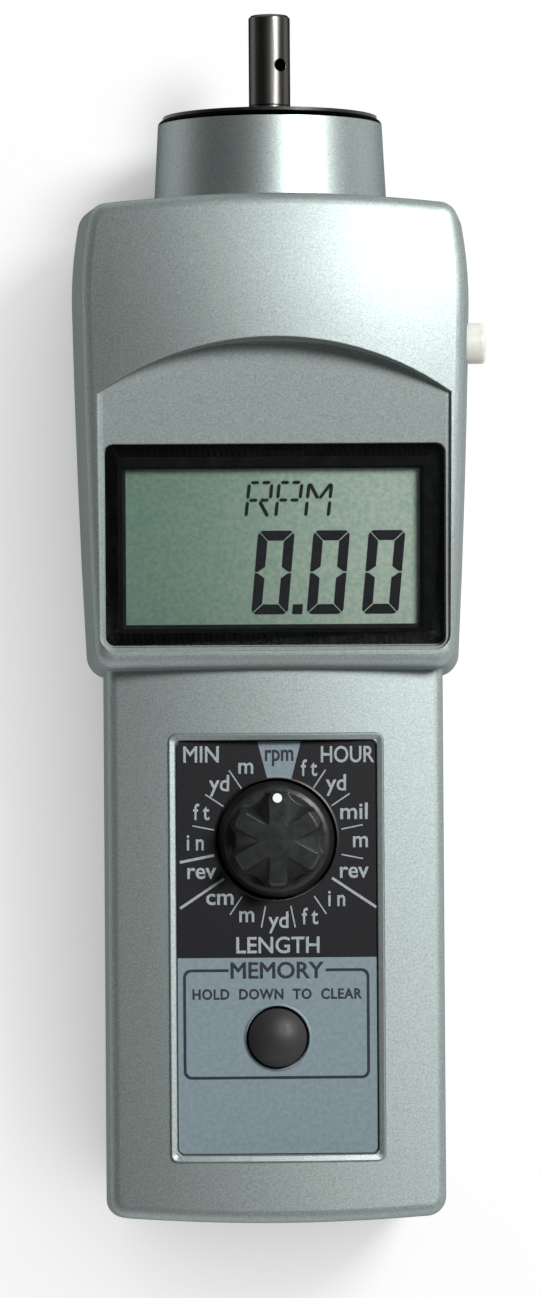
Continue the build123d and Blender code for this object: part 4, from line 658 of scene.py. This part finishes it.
def dial_panel(work):
    """Black on each side of the light wedge that marks the first range."""
    turned = WEDGE_SHIFT / KNOB_HOLE + RANGE_STEP / 2
    arc = []
    for step in range(DIAL_STEPS + 1):
        arc.append(spoke_at(turned + (2 * pi - RANGE_STEP) * step / DIAL_STEPS, KNOB_HOLE))
    right = []
    for step in range(CORNER_STEPS + 1):
        angle = pi / 2 * (1 - step / CORNER_STEPS)
        inwards, down = LABEL_CORNER * (1 - cos(angle)), LABEL_CORNER * (1 - sin(angle))
        right.append((label_right - inwards, label_top - down))
    right.append((label_right, PANEL_BOTTOM))
    left = [(-x, y) for x, y in reversed(right)]
    wedge_right = [(WEDGE_SHIFT + WEDGE_HALF_TOP, label_top)]
    wedge_left = [(WEDGE_SHIFT - WEDGE_HALF_TOP, label_top)]
    plate(work, wedge_right + right + left + wedge_left + list(reversed(arc)), PRINT_THICKNESS)


def bar_between(start, end, width):
    """The outline of a straight line of print."""
    a, b = Vector(start), Vector(end)
    side = (b - a).normalized()
    side = Vector((-side.y, side.x)) * width / 2
    return [tuple(p) for p in (a - side, b - side, b + side, a + side)]


def set_type(work, words, height, x, y, spacing=1.0, weight=LETTER_WEIGHT):
    """Sets words in plain type, centred on a place, to their own height and width."""
    for measured in ("H", words):
        text = bpy.data.curves.new("type", "FONT")
        text.body = measured
        text.space_character = spacing
        text.bevel_depth = weight
        text.bevel_resolution = 0
        text.resolution_u = LETTER_CURVE_STEPS
        holder = bpy.data.objects.new("type", text)
        bpy.context.scene.collection.objects.link(holder)
        bpy.context.view_layer.update()
        drawn = holder.evaluated_get(bpy.context.evaluated_depsgraph_get())
        mesh = bpy.data.meshes.new_from_object(drawn)
        bpy.data.objects.remove(holder)
        xs = [v.co.x for v in mesh.vertices]
        ys = [v.co.y for v in mesh.vertices]
        if measured == "H":
            scale = height / (max(ys) - min(ys))
            bpy.data.meshes.remove(mesh)
    middle = Vector(((max(xs) + min(xs)) / 2, (max(ys) + min(ys)) / 2, 0))
    flatten = PRINT_THICKNESS / 2 / weight
    sizing = Matrix.Diagonal((WORD_WIDTHS[words] / (max(xs) - min(xs)), scale, flatten, 1))
    moving = Matrix.Translation((x, y, PRINT_THICKNESS / 2))
    mesh.transform(moving @ sizing @ Matrix.Translation(-middle))
    work.from_mesh(mesh)
    bpy.data.meshes.remove(mesh)


def dial_marks(work):
    """Range names, the lines between them and the three group names."""
    for count, name in enumerate(RANGES):
        if name != "rpm":
            x, y = spoke_at(count * RANGE_STEP, RANGE_RADIUS)
            spacing = WIDE_SPACING if name in ("ft", "in") else 1.0
            set_type(work, name, CAP_HEIGHT, x * RANGE_STRETCH, y, spacing)
        angle = (count + 0.5) * RANGE_STEP
        if count in GROUP_BREAKS:
            to_edge = (label_right - MARKS_SHIFT[0]) / abs(sin(angle))
            end, width = spoke_at(angle, to_edge), GROUP_LINE_WIDTH
            plate(work, bar_between(spoke_at(angle, LINE_INNER), end, width), PRINT_THICKNESS)
        elif 0 < count < POSITIONS - 1:
            end, width = spoke_at(angle, LINE_OUTER), LINE_WIDTH
            plate(work, bar_between(spoke_at(angle, LINE_INNER), end, width), PRINT_THICKNESS)
    for name, x, rise in GROUP_NAMES:
        set_type(work, name, CAP_HEIGHT, x, KNOB_Y + rise)


def frame_edge(inset, radius):
    """One edge of the memory frame, clockwise from the right of the gap in its top to the left."""
    left, right, low, high = MEMORY_FRAME
    box = rounded_box(left + inset, right - inset, low + inset, high - inset, radius)
    in_corner = len(box) // 4
    clockwise = list(reversed(box[in_corner:] + box[:in_corner]))
    return [(FRAME_GAP_HALF, high - inset)] + clockwise + [(-FRAME_GAP_HALF, high - inset)]


def memory_marks(work):
    """The dark print on the pale part of the label."""
    outside = frame_edge(0, FRAME_CORNER_OUTSIDE)
    inside = frame_edge(FRAME_LINE, FRAME_CORNER_INSIDE)
    plate(work, outside + list(reversed(inside)), PRINT_THICKNESS)
    set_type(work, "MEMORY", CAP_HEIGHT, 0, MEMORY_FRAME[3] - FRAME_LINE / 2)
    set_type(work, "HOLD  DOWN  TO  CLEAR", NOTE_HEIGHT, 0, NOTE_Y, NOTE_SPACING, NOTE_WEIGHT)
    set_type(work, "rpm", CAP_HEIGHT, WEDGE_SHIFT, KNOB_Y + FIRST_RANGE_RISE)


black_ink, black_ink_shader = fresh_material("black_ink", (0.005, 0.004, 0.006), 0.42)
mottle(black_ink, black_ink_shader, 2500, (0.004, 0.003, 0.005), (0.008, 0.007, 0.009))
grain(black_ink, black_ink_shader, 6000, 0.000002)
raised_rim(black_ink, black_ink_shader, KNOB_Y, KNOB_HOLE, DIAL_RIM_WIDTH, DIAL_RIM_HEIGHT)
pale_ink, pale_ink_shader = fresh_material("pale_ink", (0.32, 0.365, 0.37), 0.5)
mottle(pale_ink, pale_ink_shader, 2500, (0.28, 0.325, 0.33), (0.36, 0.405, 0.41))
dark_ink, dark_ink_shader = fresh_material("dark_ink", (0.018, 0.02, 0.034), 0.45)
mottle(dark_ink, dark_ink_shader, 2500, (0.012, 0.014, 0.024), (0.026, 0.03, 0.048))
layers = (
    ("dial_panel", dial_panel, black_ink, (0, 0, 0)),
    ("dial_marks", dial_marks, pale_ink, (*MARKS_SHIFT, PRINT_THICKNESS)),
    ("memory_marks", memory_marks, dark_ink, (0, 0, 0)),
)
for name, maker, ink, shift in layers:
    layer = new_piece(name, maker, ink)
    layer.location = Vector((0, 0, label_face)) + Vector(shift)
    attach(layer, "housing")

# Bevel round the label.
# A low ridge of the front shell, moulded and painted with it. It swells round the label and
# slopes in to it on all four sides, so it catches the light on the left and at the foot.
BEVEL_OUTER = (-0.0163, 0.0163, -0.073, -0.0083)
BEVEL_CORNER = 0.0013
BEVEL_SMALLEST_CORNER = 0.00025
BEVEL_STEPS = 24
BEVEL_CREST = 0.00024
BEVEL_PROBE = 2 * BEVEL_CREST
BEVEL_WIDTH = 0.00105
BEVEL_RISE = 0.0004
BEVEL_LIP = 0.00003
BEVEL_ROOT = 0.0003
ABOVE_CASE = 0.1


def inset_box(inset):
    """The bevel's outline, moved inwards. Its sides have steps, because the shell is crowned."""
    left, right, low, high = BEVEL_OUTER
    radius = max(BEVEL_CORNER - inset, BEVEL_SMALLEST_CORNER)
    outline = rounded_box(left + inset, right - inset, low + inset, high - inset, radius)
    in_corner = len(outline) // 4
    points = []
    for start in range(0, len(outline), in_corner):
        end = start + in_corner
        here, there = Vector(outline[end - 1]), Vector(outline[end % len(outline)])
        points += outline[start:end]
        points += [tuple(here.lerp(there, step / BEVEL_STEPS)) for step in range(1, BEVEL_STEPS)]
    return points


def shell_height(place):
    """How high the front shell stands at a place, as felt from above."""
    return nodes["front_shell"].ray_cast((*place, ABOVE_CASE), (0, 0, -1))[1].z


def label_bevel(work):
    """A closed ring that follows the shell: up its outer face, down its wide inner one."""
    insets = (0, BEVEL_PROBE, BEVEL_CREST, BEVEL_WIDTH)
    foot, probe, crest, inner = (inset_box(inset) for inset in insets)
    sections = []
    for at_foot, at_probe, at_crest, at_inner in zip(foot, probe, crest, inner):
        ground = shell_height(at_foot)
        climb = (shell_height(at_probe) - ground) / BEVEL_PROBE
        inner_ground = ground + climb * BEVEL_WIDTH
        sections.append([
            work.verts.new((*at_foot, ground - BEVEL_ROOT)),
            work.verts.new((*at_foot, ground + BEVEL_LIP)),
            work.verts.new((*at_crest, ground + climb * BEVEL_CREST + BEVEL_RISE)),
            work.verts.new((*at_inner, inner_ground + BEVEL_LIP)),
            work.verts.new((*at_inner, inner_ground - BEVEL_ROOT)),
        ])
    for here, there in zip(sections, sections[1:] + sections[:1]):
        for corner in range(len(here)):
            beside = (corner + 1) % len(here)
            work.faces.new((here[corner], here[beside], there[beside], there[corner]))


bevel = new_piece("label_bevel", label_bevel, paint)
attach(bevel, "housing")

# Selector.
# The rotary switch turns a nylon spindle, and the black moulded knob is pushed onto the spindle's
# flat. A dot of white paint marks the tip of its pointer.
spindle_nylon, nylon_shader = fresh_material("spindle_nylon", (0.7, 0.69, 0.64), 0.5)
nylon_shader.inputs["Subsurface Weight"].default_value = 0.1
smudge(spindle_nylon, nylon_shader, 1500, 0.42, 0.58)
dress(spindle_nylon, "selector_spindle")
knob_plastic, knob_shader = fresh_material("knob_plastic", (0.016, 0.017, 0.017), 0.34)
smudge(knob_plastic, knob_shader, 700, 0.28, 0.45)
grain(knob_plastic, knob_shader, 5000, 0.000006, edge=0.0003)
dress(knob_plastic, "selector_knob")

DOT_RADIUS = 0.0007
DOT_SIDES = 24
DOT_PLACE = 0.0064
DOT_THICKNESS = 0.00008
knob_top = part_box("selector_knob")[1].z


def pointer_dot(work):
    """The dot near the tip of the knob's pointer."""
    turns = [2 * pi * side / DOT_SIDES for side in range(DOT_SIDES)]
    middle = KNOB_Y + DOT_PLACE
    ring = [(DOT_RADIUS * cos(turn), middle + DOT_RADIUS * sin(turn)) for turn in turns]
    plate(work, ring, DOT_THICKNESS)


dot_white, dot_shader = fresh_material("dot_white", (0.85, 0.87, 0.86), 0.4)
smudge(dot_white, dot_shader, 3000, 0.3, 0.5)
dot = new_piece("pointer_dot", pointer_dot, dot_white)
dot.location.z = knob_top - DOT_THICKNESS / 2
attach(dot, "selector")

# Memory button.
# A domed key moulded in black plastic, with a flange under the label. It stands on the nylon
# plunger of a push switch.
key_plastic, key_shader = fresh_material("key_plastic", (0.026, 0.025, 0.026), 0.55)
smudge(key_plastic, key_shader, 900, 0.5, 0.62)
grain(key_plastic, key_shader, 5000, 0.000004, edge=0.0002)
dress(key_plastic, "memory_button")
plunger_nylon, plunger_shader = fresh_material("plunger", (0.06, 0.06, 0.06), 0.4)
smudge(plunger_nylon, plunger_shader, 1200, 0.34, 0.48)
dress(plunger_nylon, "memory_plunger", "measure_plunger")

# Measuring button.
# An ivory moulded key, held by its flange inside the front shell. It slides in a round hole in
# the right flank and presses a second push switch.
ivory, ivory_shader = fresh_material("ivory_plastic", (0.64, 0.63, 0.58), 0.4)
ivory_shader.inputs["Subsurface Weight"].default_value = 0.08
mottle(ivory, ivory_shader, 900, (0.56, 0.55, 0.50), (0.62, 0.61, 0.56))
grain(ivory, ivory_shader, 3000, 0.000006, edge=0.0002)
dress(ivory, "measure_button")

# Drive shaft and its bearings.
# The stainless shaft is turned and fine ground. It runs in two ball bearings in an aluminium
# sleeve, kept apart by a spacer and held by circlips.
shaft_steel, shaft_shader = fresh_material("shaft_steel", (0.13, 0.127, 0.12), 0.3, 1.0)
shaft_shader.inputs["Specular Tint"].default_value = NO_TINT
grain(shaft_steel, shaft_shader, 9000, 0.0000008, stretch=(0.02, 1, 0.02), edge=0.0002)
smudge(shaft_steel, shaft_shader, 1200, 0.26, 0.36, stretch=(1, 0.05, 1))
dress(shaft_steel, "drive_shaft")
bearing_steel, race_shader = fresh_material("bearing_steel", (0.62, 0.61, 0.6), 0.18, 1.0)
smudge(bearing_steel, race_shader, 1500, 0.12, 0.28)
bearing_nodes = [f"{end}_bearing_{part}" for end in ("rear", "front")
                 for part in ("inner", "outer", "balls", "cage")]
dress(bearing_steel, *bearing_nodes)
aluminium, aluminium_shader = fresh_material("turned_aluminium", (0.74, 0.75, 0.76), 0.33, 1.0)
grain(aluminium, aluminium_shader, 7000, 0.00001, stretch=(0.02, 1, 0.02))
dress(aluminium, "bearing_sleeve", "encoder_hub", "disc_clamp")
dress(screw_steel, "bearing_spacer", "shaft_circlip", "sleeve_circlip")
slotted, slotted_shader = fresh_material("etched_disc", (0.05, 0.05, 0.055), 0.4, 0.6)
smudge(slotted, slotted_shader, 1500, 0.3, 0.5)
dress(slotted, "encoder_disc")

# Nose cap.
# A black moulded disc with a low dome. It closes the front of the collar and leaves a narrow gap
# round the shaft.
dress(black_plastic, "nose_cap")
